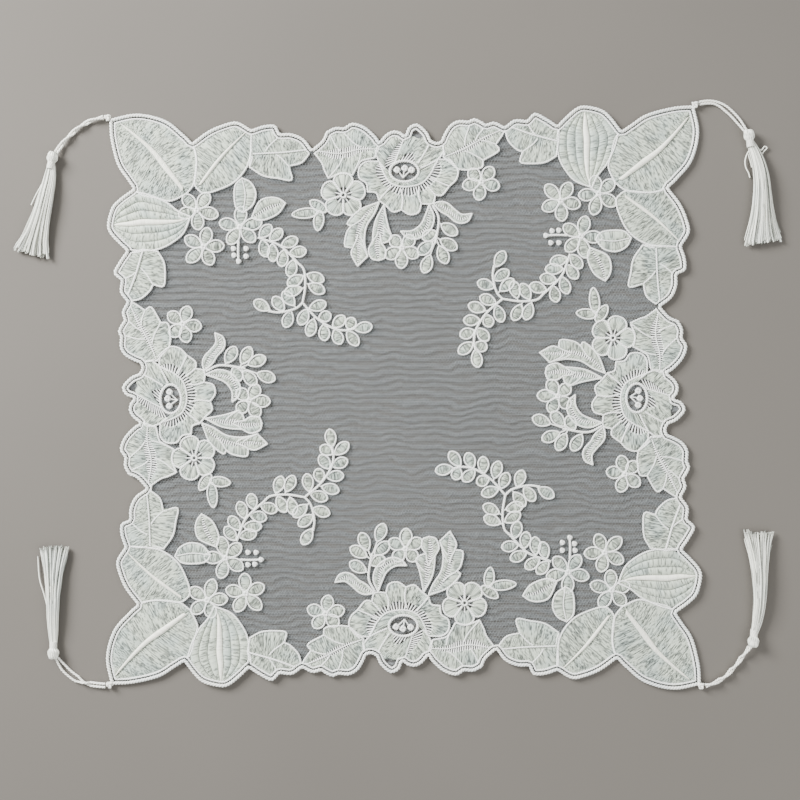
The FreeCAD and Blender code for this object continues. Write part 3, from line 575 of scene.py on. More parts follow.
def bud(cloth, base, tip, width, fullness=1.2):
    """A small filled petal or leaflet inside its own couched outline."""
    a, b = bud_sides(base, tip, width, fullness)
    middle = (a + b) / 2
    satin(cloth, middle + (a - middle) * BUD_FILL, middle + (b - middle) * BUD_FILL, height=0.5, trim=0.06,
          slits=0.3)
    rope(cloth, outline_of(a, b), BUD_OUTLINE_RADIUS, 0.95, closed=True)
    COVERS.append(outline_of(a, b))


def leaf_lines(name, turns):
    """A leaf's rib and its two sides, each from the tip to the base."""
    rib, *sides = LEAVES[name]
    return [motif_line(line, turns) for line in [rib] + [rib[:1] + side + rib[-1:] for side in sides]]


def lobe_veins(cloth, name, rib, turns):
    """Raised lines from the notches between a leaf's lobes in towards its rib."""
    for side in LEAVES[name][1:]:
        notches = [p for p, following in zip(side, side[1:]) if p == following]
        if not notches:
            continue
        for notch in keep_inside(place(notches, turns), OUTLINE_INSET):
            share = distances(rib)[np.argmin(np.linalg.norm(rib - notch, axis=1))] / distances(rib)[-1]
            foot = cut_line(rib, 0, min(share + 0.22, 0.97), 2)[-1]
            line = np.array([notch, notch * 0.45 + foot * 0.55 + (foot - notch)[::-1] * (0.06, -0.06), foot])
            rope(cloth, cut_line(catmull(line), 0, 0.86, 20), 0.4, VEIN_Z)


def leaf(cloth, name, turns, split=0.0, rib_width=0.0, comb=0.0, lobes=False, vein=0.0):
    """A leaf in two halves, filled from its rib to its sides.
    comb is the share of a half that a comb of slits beside the rib takes, and split is satin's.
    The rib is a satin one of rib_width, a vein of that radius, or bare."""
    rib, side_a, side_b = leaf_lines(name, turns)
    for side in (side_a, side_b):
        if comb:
            reach = comb * np.sin(math.pi * np.linspace(0.02, 0.98, 80)) ** 0.6
            a, b = cut_line(rib, 0, 1, 80), cut_line(side, 0, 1, 80)
            satin(cloth, a + (b - a) * reach[:, None], side, trim=0.03, split=split)
            bars(cloth, a, b, reach * 1.15)
        else:
            satin(cloth, rib, side, split=split)
    outlined(cloth, outline_of(side_a, side_b))
    if lobes:
        lobe_veins(cloth, name, rib, turns)
    if rib_width:
        core = cut_line(rib, 0.04, 0.97, 40)
        t = np.linspace(0, 1, 40)
        tangent = np.gradient(core, axis=0)
        normal = np.stack([-tangent[:, 1], tangent[:, 0]], 1) / np.linalg.norm(tangent, axis=1)[:, None]
        half = rib_width / 2 * np.interp(t, (0, 0.1, 0.65, 1), (0.12, 0.35, 1, 0.6))
        satin(cloth, core + normal * half[:, None], core - normal * half[:, None], height=0.75,
              base=STITCH_Z + 0.6, slant=0.03, pitch=0.5, slits=0, sunken=0, kind=RIBBED)
    if vein:
        rope(cloth, cut_line(rib, 0.05, 0.97, 40), vein, VEIN_Z)


STRIPE_SHARES = (0, 0.15, 0.3, 0.45, 0.56, 0.7, 0.85, 1)     # the ribs' edges, across the leaf


def striped_leaf(cloth, turns):
    """An oval leaf of lens-shaped ribs side by side."""
    _, side_a, side_b = leaf_lines("striped_leaf", turns)
    edges = [soften(between(side_a, side_b, share, 80)) for share in STRIPE_SHARES]
    middle = len(STRIPE_SHARES) // 2 - 1
    for k, (a, b) in enumerate(zip(edges, edges[1:])):
        if k == middle:
            satin(cloth, a, b, height=0.9, slits=0, sunken=0, kind=RIBBED)
        else:
            satin(cloth, a, b, slits=0.1, sunken=0.14)
    outlined(cloth, outline_of(side_a, side_b))


def floret(cloth, spec, turns):
    """Five looped petals round a small knot."""
    spots = place(spec, turns)
    centre = spots[0]
    for middle in spots[1:]:
        out = (middle - centre) / np.linalg.norm(middle - centre)
        bud(cloth, centre + out * 1.0, middle + out * 3.6, 6.0)
    rope(cloth, ring_line(centre, (1.8, 1.8), 0, 12), 0.8, 1.0, closed=True, step=0.4)


LEAFLET_LEAD = 2.4              # how far before its middle's nearest point a leaflet leaves the stem


def leaflets(cloth, centres, stems, turns, longest=8.6, width=5.3):
    """Leaflets that grow forwards out of the nearest stem; one that is too far off gets a stalk."""
    lines = [cut_line(place(smooth(stem), turns), 0, 1, 60) for stem in stems]
    for centre in place(centres, turns):
        line = min(lines, key=lambda one: np.linalg.norm(one - centre, axis=1).min())
        nearest = np.argmin(np.linalg.norm(line - centre, axis=1))
        spacing = distances(line)[-1] / (len(line) - 1)
        root = line[max(0, nearest - int(round(LEAFLET_LEAD / spacing)))]
        half = centre - root
        reach = np.linalg.norm(half)
        start = root if 2 * reach < longest + 1.5 else centre - half / reach * (longest / 2 + 0.8)
        bud(cloth, start + half / reach * 0.6, centre + half / reach * min(reach, longest / 2), width)
        if start is not root:
            rope(cloth, np.array([root, start + half / reach]), STALK_RADIUS, 0.95)


def ring_line(centre, size, angle, count=48):
    """An ellipse of the given two widths, turned by the angle."""
    t = np.linspace(0, 2 * math.pi, count, endpoint=False)
    x, y = size[0] / 2 * np.cos(t), size[1] / 2 * np.sin(t)
    return centre + np.stack([x * math.cos(angle) - y * math.sin(angle),
                              x * math.sin(angle) + y * math.cos(angle)], 1)


def arc_share(line, start, end, count):
    """The stretch of a closed line that runs from its point nearest start to its point nearest end."""
    first = np.argmin(np.linalg.norm(line - start, axis=1))
    line = np.roll(line, -first, 0)
    last = np.argmin(np.linalg.norm(line - end, axis=1))
    return cut_line(line[:last + 1], 0, 1, count) if last > 1 else line[:2]


CREST_WINDOW = (6.8, 138.2, 4.9)    # bare net inside the rose's highest petal: its middle and its radius
# The comb of slits between the rose's first two petals: its left side up to the notch, and its right foot.
PETAL_GAP = [(-9.6, 117.4), (-8.8, 121.6), (-4.4, 127.6), (0.4, 133.8)]
PETAL_GAP_FOOT = (-4.4, 120.4)
ROSE_WAIST = [(-12.4, 120.6), (17, 121.3)]      # where the upper petals meet the lower ones
EYE_RIM = 2.6                   # how much wider the stitched rim is than the eye
PETAL_STITCH = {"split": 3.0, "pitch": 0.7}


def rose(cloth, turns):
    """An open rose: fanned upper petals, a cup round the eye, and lower petals beyond a comb of slits."""
    outline = motif_line(ROSE, turns)[:-1]
    centre = place([EYE], turns)[0]
    tilt = -turns * math.pi / 2
    left, right = place(ROSE_WAIST, turns)
    rim = ring_line(centre, (EYE[2] + EYE_RIM, EYE[3] + EYE_RIM), tilt)[::-1]
    eye_left, eye_right = place([(EYE[0] - EYE[2] / 2, EYE[1]), (EYE[0] + EYE[2] / 2, EYE[1])], turns)
    gap_foot = place([PETAL_GAP_FOOT], turns)[0]
    gap = motif_line(PETAL_GAP, turns)
    notch = gap[-1]
    first_petal = arc_share(outline, left, notch, 80)
    satin(cloth, gap, first_petal, **PETAL_STITCH)
    upper = arc_share(outline, notch, right, 120)
    crest = place([CREST_WINDOW], turns)[0]
    near = np.exp(-(np.linalg.norm(upper - crest, axis=1) / CREST_WINDOW[2]) ** 4)
    inward = (centre - upper) / np.linalg.norm(centre - upper, axis=1)[:, None]
    upper = upper + inward * (near * 3.8)[:, None]
    upper_rim = arc_share(rim, gap_foot, eye_right, 120)
    open_share = 0.36 * np.exp(-((np.linspace(0, 1, 120) - 0.36) / 0.22) ** 2)
    satin(cloth, upper_rim + (upper - upper_rim) * open_share[:, None], upper, trim=0.01, **PETAL_STITCH)
    bars(cloth, upper_rim, upper, open_share * 1.1, pitch=1.15, radius=0.24)
    bars(cloth, gap, np.array([gap_foot, notch]), 1.0, pitch=1.45, radius=0.24)
    rope(cloth, np.array([gap_foot, notch]), STALK_RADIUS, 1.1)
    cup = place(smooth(CUP), turns)[::-1]
    satin(cloth, arc_share(rim, eye_right, eye_left, 60), cut_line(cup, 0, 1, 60), height=0.95)
    lower = arc_share(outline, right, left, 200)
    beyond = between(cup, lower, 0.3, 160)
    satin(cloth, beyond, lower, **PETAL_STITCH)
    bars(cloth, cup, lower, 0.36, pitch=1.25, radius=0.28)
    rope(cloth, rim, 0.7, 1.15, closed=True)
    rope(cloth, cup, 0.45, 1.2)
    outlined(cloth, outline)
    for fold in ROSE_FOLDS:
        rope(cloth, motif_line(fold, turns), 0.5, 1.3)
    stamens(cloth, turns)


def stamens(cloth, turns):
    """Three stamens in the rose's open eye, their stems meeting at its lower side."""
    root = (EYE[0] - 0.6, EYE[1] - 3.2)
    for x, y in ((-3.6, 0.8), (0.2, 1.6), (3.6, 0.7)):
        end = (EYE[0] + x, EYE[1] + y)
        line = place([root, ((root[0] + end[0]) / 2, (root[1] + end[1]) / 2 + 0.2), end], turns)
        rope(cloth, catmull(line), 0.35, 0.95)
        knot = ring_line(line[-1], (1.8, 1.8), 0, 12)
        rope(cloth, knot, 0.85, 1.0, closed=True, step=0.4)


def blossom(cloth, turns):
    """The five-lobed flower beside the rose, its petals stitched outwards from the middle."""
    centre = place([BLOSSOM], turns)[0]
    for lobe in range(5):
        middle = 2 * math.pi * (lobe + 0.25) / 5 - turns * math.pi / 2
        angle = middle + np.linspace(-0.6, 0.6, 30)
        bulge = 1 - 0.24 * np.abs(np.linspace(-1, 1, 30)) ** 2.6
        direction = np.stack([np.cos(angle), np.sin(angle)], 1)
        outer = centre + direction * (BLOSSOM[2] * bulge)[:, None]
        inner = centre + direction * 2.0
        satin(cloth, inner + (outer - inner) * 0.22, outer, height=0.65, trim=0.02, pitch=0.7)
        bars(cloth, inner, outer, 0.3, pitch=0.75, radius=0.24)
        rope(cloth, np.vstack([inner[:1], outer, inner[-1:]]), 0.5, OUTLINE_Z)
        COVERS.append(np.vstack([centre[None], outer]))
    rope(cloth, ring_line(centre, (2.6, 2.6), 0, 16), 0.6, 1.05, closed=True, step=0.4)


def stem(cloth, name, turns):
    rope(cloth, place(smooth(STEMS[name]), turns), STEM_RADIUS, 1.05)


# ---------------------------------------------------------------- materials
def rgb(*values):
    """Linear colour of an sRGB colour given from 0 to 255."""
    return [((v / 255 + 0.055) / 1.055) ** 2.4 if v > 10 else v / 3294.6 for v in values] + [1.0]


class Nodes:
    """A material and short ways to add the nodes that it is made of."""

    def __init__(self, name):
        self.material = bpy.data.materials.new(name)
        self.material.use_nodes = True
        self.tree = self.material.node_tree
        self.shader = self.tree.nodes["Principled BSDF"]

    def add(self, kind, inputs=None, **settings):
        node = self.tree.nodes.new(kind)
        for key, value in settings.items():
            setattr(node, key, value)
        for key, value in (inputs or {}).items():
            if isinstance(value, bpy.types.NodeSocket):
                self.tree.links.new(value, node.inputs[key])
            else:
                node.inputs[key].default_value = value
        return node

    def link(self, source, target):
        self.tree.links.new(source, target)

    def noise(self, scale, detail, stretch=(1, 1, 1)):
        where = self.add("ShaderNodeTexCoord").outputs["Object"]
        mapped = self.add("ShaderNodeMapping", {"Vector": where, "Scale": stretch}).outputs["Vector"]
        settings = {"Vector": mapped, "Scale": scale, "Detail": detail}
        return self.add("ShaderNodeTexNoise", settings).outputs["Fac"]

    def ramp(self, factor, *stops):
        node = self.add("ShaderNodeValToRGB", {"Fac": factor})
        elements = node.color_ramp.elements
        while len(elements) < len(stops):
            elements.new(0.5)
        for element, (position, colour) in zip(elements, stops):
            element.position, element.color = position, colour
        return node.outputs["Color"]

    def mix(self, factor, a, b, blend="MIX"):
        node = self.add("ShaderNodeMix", data_type="RGBA", blend_type=blend)
        for index, value in ((0, factor), (6, a), (7, b)):
            if isinstance(value, bpy.types.NodeSocket):
                self.link(value, node.inputs[index])
            else:
                node.inputs[index].default_value = value
        return node.outputs[2]


def thread_material(name, valley, crest, tint, tint_share, roughness=0.62, sheen=0.35, patch=75.0,
                    bump=0.25):
    """Thread: painted shade between the stitches, its own colour on their crests, with patches of a tint and
    fine fibres.
    """
    nodes = Nodes(name)
    shade = nodes.add("ShaderNodeAttribute", attribute_name="shade").outputs["Fac"]
    fibre = nodes.noise(2600.0, 4.0)
    # painted shade: the shade attribute blends from the valley colour, which is painted shade, to the crest
    # colour
    depth = nodes.ramp(shade, (0.0, rgb(*valley)), (0.75, rgb(*crest)))
    patches = nodes.ramp(nodes.noise(patch, 2.0), (0.46, (0, 0, 0, 1)), (0.62, (1, 1, 1, 1)))
    amount = nodes.add("ShaderNodeMath", {0: patches, 1: tint_share}, operation="MULTIPLY").outputs[0]
    coloured = nodes.mix(amount, depth, rgb(*tint), "MULTIPLY")
    speckle = nodes.ramp(fibre, (0.3, (0.86, 0.86, 0.86, 1)), (0.7, (1, 1, 1, 1)))
    nodes.link(nodes.mix(1.0, coloured, speckle, "MULTIPLY"), nodes.shader.inputs["Base Color"])
    span = {"Value": fibre, "To Min": roughness - 0.1, "To Max": roughness + 0.12}
    rough = nodes.add("ShaderNodeMapRange", span)
    nodes.link(rough.outputs[0], nodes.shader.inputs["Roughness"])
    height = nodes.add("ShaderNodeBump", {"Height": fibre, "Strength": bump, "Distance": 0.0001})
    nodes.link(height.outputs[0], nodes.shader.inputs["Normal"])
    nodes.shader.inputs["Sheen Weight"].default_value = sheen
    nodes.shader.inputs["Sheen Roughness"].default_value = 0.4
    return nodes.material


def net_material(name, thinnest, densest):
    """Fine tulle: nearly clear, denser along wavy bands where the two layers' meshes fall into step."""
    nodes = Nodes(name)
    where = nodes.add("ShaderNodeTexCoord").outputs["Object"]
    waves = {"Vector": where, "Scale": 84.0, "Distortion": 9.0, "Detail": 2.0, "Detail Scale": 0.6}
    bands = nodes.add("ShaderNodeTexWave", waves, bands_direction="Y")
    streaks = nodes.noise(300.0, 2.0, stretch=(0.25, 1, 1))
    grain = nodes.noise(900.0, 2.0)
    weave = nodes.mix(0.3, nodes.mix(1.0, bands.outputs["Color"], streaks, "MULTIPLY"), grain)
    span = {"Value": weave, "From Min": 0.12, "From Max": 0.6, "To Min": thinnest, "To Max": densest}
    alpha = nodes.add("ShaderNodeMapRange", span)
    nodes.link(alpha.outputs[0], nodes.shader.inputs["Alpha"])
    colour = nodes.ramp(grain, (0.3, rgb(98, 101, 103)), (0.7, rgb(130, 134, 134)))
    nodes.link(colour, nodes.shader.inputs["Base Color"])
    nodes.shader.inputs["Roughness"].default_value = 0.8
    return nodes.material


def floor_material():
    nodes = Nodes("floor_paint")
    colour = nodes.ramp(nodes.noise(6.0, 2.0), (0.3, rgb(89, 85, 79)), (0.7, rgb(92, 88, 82)))
    nodes.link(colour, nodes.shader.inputs["Base Color"])
    nodes.shader.inputs["Roughness"].default_value = 0.85
    return nodes.material


# Each thread: its valley colour, which is painted shade, then its own colour on the crests, then the tint of
# its patches and that tint's share.
STITCH = thread_material("stitch_thread", (52, 58, 56), (203, 212, 194), (212, 226, 244), 0.45)
OUTLINE_THREAD = thread_material("outline_thread", (104, 108, 100), (254, 255, 249), (236, 243, 250), 0.2)
RIB_THREAD = thread_material("rib_thread", (176, 176, 160), (253, 253, 238), (240, 240, 236), 0.2)
EDGE_THREAD = thread_material("edge_cord_thread", (116, 117, 110), (250, 251, 243), (222, 234, 246), 0.35)
CORD_THREAD = thread_material("tassel_cord_thread", (150, 148, 136), (252, 251, 240), (232, 236, 242), 0.25)
FLOSS = thread_material("tassel_floss_thread", (96, 100, 92), (250, 251, 238), (222, 232, 244), 0.35,
                        roughness=0.45, sheen=0.5, patch=60.0, bump=0.15)
NET_THREAD = thread_material("net_thread", (70, 74, 74), (112, 116, 116), (226, 232, 240), 0.3,
                             roughness=0.85, sheen=0.1)
NET_BACK = net_material("net_back_tulle", 0.04, 0.6)
MOTIF_THREADS = [STITCH, OUTLINE_THREAD, RIB_THREAD]


# ---------------------------------------------------------------- camera, floor and light
def make_camera():
    data = bpy.data.cameras.new("camera")
    data.lens, data.sensor_width = 57.8, 36.0
    camera = bpy.data.objects.new("camera", data)
    camera.location = (-0.0018, -0.001, 0.65)
    bpy.context.scene.collection.objects.link(camera)
    bpy.context.scene.camera = camera


def make_floor():
    half = 2.0
    level = -0.0004     # just clear of the cloth's underside
    corners = [(x * half, y * half, level) for x, y in ((-1, -1), (1, -1), (1, 1), (-1, 1))]
    mesh = bpy.data.meshes.new("floor")
    mesh.from_pydata(corners, [], [(0, 1, 2, 3)])
    mesh.materials.append(floor_material())
    floor = bpy.data.objects.new("floor", mesh)
    bpy.context.scene.collection.objects.link(floor)


def make_light(name, place_at, size, power):
    """A square soft light that faces the middle of the cloth."""
    data = bpy.data.lights.new(name, "AREA")
    data.shape, data.size, data.energy = "SQUARE", size, power
    light = bpy.data.objects.new(name, data)
    light.location = place_at
    light.rotation_euler = (-Vector(place_at)).to_track_quat("-Z", "Y").to_euler()
    bpy.context.scene.collection.objects.link(light)


make_camera()
make_floor()
make_light("softbox_key", (-0.85, 0.6, 0.62), 0.5, 58.0)
make_light("softbox_fill", (0.8, -0.5, 1.0), 1.0, 13.0)
world = bpy.data.worlds.new("studio")
world.use_nodes = True
world.node_tree.nodes["Background"].inputs["Color"].default_value = (0.98, 0.99, 1.0, 1.0)
world.node_tree.nodes["Background"].inputs["Strength"].default_value = 0.88
bpy.context.scene.world = world


# ---------------------------------------------------------------- the cords and tassels
def route_line(name, route):
    """Points along the smooth curve that the route's points control, in metres."""
    curve = bpy.data.curves.new(name, "CURVE")
    curve.dimensions = "3D"
    spline = curve.splines.new("NURBS")
    spline.points.add(len(route) - 1)
    for point, (x, y, z) in zip(spline.points, route):
        point.co = (x * MM, y * MM, z * MM, 1)
    spline.order_u = 3
    spline.use_endpoint_u = True
    spline.resolution_u = 16
    holder = bpy.data.objects.new(name, curve)
    mesh = bpy.data.meshes.new_from_object(holder)
    points = np.array([v.co[:] for v in mesh.vertices])
    bpy.data.objects.remove(holder)
    bpy.data.curves.remove(curve)
    bpy.data.meshes.remove(mesh)
    return points


# Where one strand of each doubled cord lies beside the cord's middle, by share of its length. The other
# strand mirrors it, and where the two cross, one goes over the other.
WEAVES = {
    "nw": [(0, 0.66), (0.15, 0), (0.29, -0.75), (0.44, 0), (0.58, 0.75), (0.73, 0), (0.87, -0.75),
           (1, -0.62)],
    "ne": [(0, 0.66), (0.28, 0.66), (0.5, 1.15), (0.8, 1.1), (1, 0.62)],
    "se": [(0, 0.66), (0.12, 0), (0.25, -0.7), (0.38, 0), (0.5, 0.7), (0.63, 0), (0.76, -0.7), (0.88, 0),
           (1, 0.62)],
    "sw": [(0, 0.85), (0.25, 0.85), (0.36, 0), (0.5, -1.4), (0.8, -1.4), (1, -0.62)],
}


def smoothed(values, reach, **padding):
    """The values averaged with their neighbours."""
    kernel = np.hanning(2 * reach + 1)
    return np.convolve(np.pad(values, reach, **padding), kernel / kernel.sum(), "valid")


def make_cord(name, spec):
    """The doubled cord between knot and head: two strands that cross and part again."""
    path = route_line(f"route_{name}", spec["cord"])
    line = cut_line(path / MM, 0, 1, 110)
    share = np.linspace(0, 1, len(line))
    weave = np.array(WEAVES[name], float)
    lateral = smoothed(np.interp(share, weave[:, 0], weave[:, 1]), 4, mode="edge")
    widest = np.concatenate([[0], np.cumsum(np.diff(np.sign(np.diff(np.abs(lateral)))) < 0), [0]])
    widest[-1] = widest[-2]
    stacked = CORD_STRAND_RADIUS * np.sqrt(1 - np.clip(np.abs(lateral) / CORD_STRAND_RADIUS, 0, 1) ** 2)
    level = stacked * np.where(widest % 2 == 0, 1, -1)
    tangent = np.gradient(line, axis=0)
    side = np.stack([-tangent[:, 1], tangent[:, 0], 0 * tangent[:, 0]], 1)
    side /= np.linalg.norm(side, axis=1)[:, None]
    settle = (1 - stacked / CORD_STRAND_RADIUS) * np.clip(line[:, 2] - CORD_STRAND_RADIUS - 0.1, 0, 0.7)
    cloth = Cloth()
    for sign in (1, -1):
        strand = line + side * (lateral * sign)[:, None]
        strand[:, 2] += level * sign - settle
        rope(cloth, strand, CORD_STRAND_RADIUS, lay=1.5, sides=9, step=0.22)
    piece = finish_piece(cloth, f"tassel_cord_{name}", "strands", [CORD_THREAD],
                         f"hanger_{name}")


def make_knot(name, spec):
    """The hitch round the cloth's corner: one thread knotted over itself."""
    t = np.linspace(0, 2 * math.pi, 90, endpoint=False)
    x = 0.44 * (np.sin(t) + 2 * np.sin(2 * t))
    y = 0.44 * (np.cos(t) - 2 * np.cos(2 * t))
    z = 1.5 - 0.75 * np.sin(3 * t)
    line = np.stack([x + spec["knot"][0], y + spec["knot"][1], z], 1)
    cloth = Cloth()
    rope(cloth, line, 0.66, closed=True, sides=9, step=0.25)
    finish_piece(cloth, f"corner_knot_{name}", "hitch", [CORD_THREAD], f"hitch_{name}")


def tassel_frame(spec):
    """The head's centre, the directions along the tassel and across it, and how far off the tip is."""
    last, before = np.array(spec["cord"][-1]), np.array(spec["cord"][-2])
    arrive = (last - before)[:2]
    arrive /= np.linalg.norm(arrive)
    centre = np.array([*(last[:2] + arrive * (HEAD_RADIUS + JOINT_GAP)), HEAD_RADIUS])
    along = np.array([*spec["tip"], HEAD_RADIUS]) - centre
    reach = np.linalg.norm(along)
    along /= reach
    return centre, along, np.array([-along[1], along[0], 0]), reach


def around(angle, across):
    """Directions square to the tassel's middle line, by their angle from across."""
    return np.cos(angle)[:, None] * across + np.sin(angle)[:, None] * UP


HANKS = 26
CORE_SIDES = 20
BLUNTNESS = 2.8     # power of the head's oval; 2 would be a ball


def make_head(name, spec):
    """Floss folded over the cord's loop: lumpy hanks that run from the top of the ball down to the neck."""
    centre, along, across, _ = tassel_frame(spec)
    cloth = Cloth()
    s = np.linspace(-HEAD_RADIUS + 0.25, NECK_START + 0.3, 26)
    middle = centre + s[:, None] * along
    ball = np.clip(1 - np.abs(s / HEAD_RADIUS) ** BLUNTNESS, 0, 1) ** (1 / BLUNTNESS) * (HEAD_RADIUS - 0.6)
    slope = np.clip((s - 0.6) / (NECK_START - 0.6), 0, 1)
    radius_at = ball * (1 - slope ** 2) + (NECK_RADIUS - 0.1) * slope ** 2
    for k in range(HANKS):
        angle = 2 * math.pi * (k + rng.uniform(-0.25, 0.25)) / HANKS
        twist = rng.uniform(-0.25, 0.25) * np.linspace(-1, 1, len(s))
        bulge = 1 + rng.uniform(-0.05, 0.07) * np.sin(np.linspace(0, math.pi, len(s)))
        line = middle + around(angle + twist, across) * (radius_at * bulge)[:, None]
        rope(cloth, line, rng.uniform(0.36, 0.46), lay=3.2, sides=6, step=0.35)
    # The core under the hanks is kept at low shade: painted shade that shows in the gaps between them.
    core_radius = np.maximum(radius_at - 0.1, 0.2)
    ring = around(np.linspace(0, 2 * math.pi, CORE_SIDES, endpoint=False), across)
    faces = grid_faces(len(s), CORE_SIDES, closed_rows=True)
    first, last = range(CORE_SIDES), range((len(s) - 1) * CORE_SIDES, len(s) * CORE_SIDES)
    faces += [list(first)[::-1], list(last)]
    cloth.add(middle[:, None] + ring * core_radius[:, None, None], faces, 0.25)
    finish_piece(cloth, f"tassel_head_{name}", "floss", [FLOSS], f"tassel_{name}")


def make_wrap(name, spec):
    """Thread wound tightly round the neck."""
    centre, along, across, _ = tassel_frame(spec)
    turns = 6
    t = np.linspace(0, 1, turns * 20)
    s = NECK_START + 0.1 + (WRAP_LENGTH - 0.2) * t
    line = centre + s[:, None] * along + around(2 * math.pi * turns * t, across) * (NECK_RADIUS + 0.05)
    cloth = Cloth()
    rope(cloth, line, 0.34, lay=1.1, sides=7)
    finish_piece(cloth, f"neck_wrap_{name}", "winding", [CORD_THREAD], f"tassel_{name}")


SKIRT_SHARES = (0, 0.12, 0.3, 0.5, 0.7, 0.85, 1)            # places along the skirt, from the neck to the tip
SKIRT_WIDTHS = (0.18, 0.3, 0.38, 0.44, 0.56, 0.73, 1.0)     # width there, as a share of the tassel's
SKIRT_HEIGHTS = (2.6, 3.8, 5.0, 5.2, 4.8, 4.2, 3.4)
STRANDS = 240
LOCKS = 40                      # groups of strands that lie together
SHORT_EVERY = 19                # one strand in so many ends early


def make_skirt(name, spec):
    """The skirt's loose threads, fanned out and lying on the table."""
    centre, along, across, reach = tassel_frame(spec)
    cloth = Cloth()
    start = NECK_START + 0.4
    t = np.linspace(0, 1, 26)
    width = np.interp(t, SKIRT_SHARES, SKIRT_WIDTHS) * spec["half_width"]
    width = smoothed(width, 3, mode="reflect", reflect_type="odd")
    height = np.interp(t, SKIRT_SHARES, SKIRT_HEIGHTS)
    bow = spec["bow"] * np.sin(math.pi * t ** 0.65) ** 1.3
    neck_pull = np.exp(-t * 14)
    locks = [(np.clip(-1 + 2 * (k + rng.uniform(-0.3, 0.3)) / (LOCKS - 1), -1, 1), rng.uniform(0, 1),
              rng.uniform(0.955, 1.0), rng.normal(0, 0.4)) for k in range(LOCKS)]
    for k in range(STRANDS):
        middle, lock_level, lock_end, lock_sway = locks[k % LOCKS]
        beside = float(np.clip(middle + rng.normal(0, 0.04), -1, 1))
        level = float(np.clip(lock_level + rng.normal(0, 0.25), 0, 1))
        wander = (lock_sway + rng.normal(0, 0.2)) * np.sin(math.pi * t * 0.8) * t
        wander += rng.uniform(0.05, 0.2) * np.sin(rng.uniform(0, 6.3) + rng.uniform(12, 26) * t) * t
        ends_at = lock_end + rng.uniform(-0.015, 0.0) if k % SHORT_EVERY else rng.uniform(0.86, 0.95)
        s = start + (reach + 1.0 - start) * t * ends_at
        oval = math.sqrt(max(1 - beside ** 2, 0.02))
        z = 0.35 + (0.5 + (level - 0.5) * oval) * (height - 0.5)
        z = z * (1 - neck_pull) + (HEAD_RADIUS + (level - 0.5) * 2 * oval * 0.9) * neck_pull
        line = centre + s[:, None] * along + (beside * width + wander + bow)[:, None] * across
        line[:, 2] = z
        radii = np.full((len(t), 5), rng.uniform(0.24, 0.33)) * (1 - 0.35 * t ** 4)[:, None]
        tube(cloth, line, radii, rng.uniform(0.0, 1.0))
    finish_piece(cloth, f"tassel_skirt_{name}", "threads", [FLOSS], f"tassel_{name}")


# Single threads that have come loose from a tassel.
STRAYS = {
    "ne": [[(175, 126), (173.3, 122.8), (172.5, 119.6), (173, 116.4), (174.4, 113.8), (175.1, 111.5)],
           [(175.6, 126), (174.4, 122.8), (175.3, 119.6), (176.1, 116.7)],
           [(177.3, 127.4), (179.4, 125.7), (181, 125.4), (182.3, 127.1), (183.6, 126.3), (181.7, 124.2),
            (181.2, 122.5), (181.7, 120.7)]],
    "nw": [[(-179.8, 112.6), (-183, 107.4), (-186, 102.2), (-188.3, 97.6)]],
    "sw": [[(-179, -108), (-181.6, -99), (-184, -91), (-184.9, -80)]],
}


def make_strays(name):
    cloth = Cloth()
    for points in STRAYS[name]:
        flat = catmull(np.array(points, float), 6)
        z = np.interp(np.linspace(0, 1, len(flat)), [0, 0.2, 1], [2.4, 1.4, 0.5])
        tube(cloth, np.column_stack([flat, z]), np.full((len(flat), 6), 0.3), 0.9)
    piece = cloth.piece(f"stray_threads_{name}", [FLOSS], follow_ripple=False)
    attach(piece, f"tassel_{name}")


for name, spec in TASSELS.items():
    make_cord(name, spec)
    make_knot(name, spec)
    make_head(name, spec)
    make_wrap(name, spec)
    make_skirt(name, spec)
for name in STRAYS:
    make_strays(name)


# ---------------------------------------------------------------- the embroidery
LEAF_SPLIT = 2.6                # spacing of the needle holes in the large leaves' stitches


def finish_motif(cloth, node, where):
    finish_piece(cloth, f"{node}_{where}", "stitches", MOTIF_THREADS)


def make_corner_motifs(turns):
    corner = QUARTERS[turns]
    for name, rib_width in (("corner_leaf", 3.0), ("pointed_leaf", 1.9)):
        cloth = Cloth()
        leaf(cloth, name, turns, split=LEAF_SPLIT, rib_width=rib_width)
        finish_motif(cloth, name, corner)
    cloth = Cloth()
    striped_leaf(cloth, turns)
    finish_motif(cloth, "striped_leaf", corner)
    cloth = Cloth()
    leaf(cloth, "small_leaf_a", turns, split=2.4, vein=0.55, lobes=True)
    leaf(cloth, "small_leaf_b", turns, split=2.4, vein=0.45, lobes=True)
    leaf(cloth, "spray_leaf_a", turns, vein=0.35)
    leaf(cloth, "spray_leaf_b", turns, comb=0.15)
    finish_motif(cloth, "small_leaves", corner)
    cloth = Cloth()
    for name in ("floret_a", "floret_b", "floret_c"):
        floret(cloth, FLORETS[name], turns)
    for name in ("berry_stem", "vine", "branch_a", "branch_b"):
        stem(cloth, name, turns)
    for berry in place(BERRIES, turns):
        rope(cloth, ring_line(berry, (1.3, 1.3), 0, 12), 0.8, 1.0, closed=True, step=0.35)
    leaflets(cloth, VINE_LEAFLETS, [STEMS[n] for n in ("vine", "branch_a", "branch_b")], turns)
    finish_motif(cloth, "flower_vine", corner)


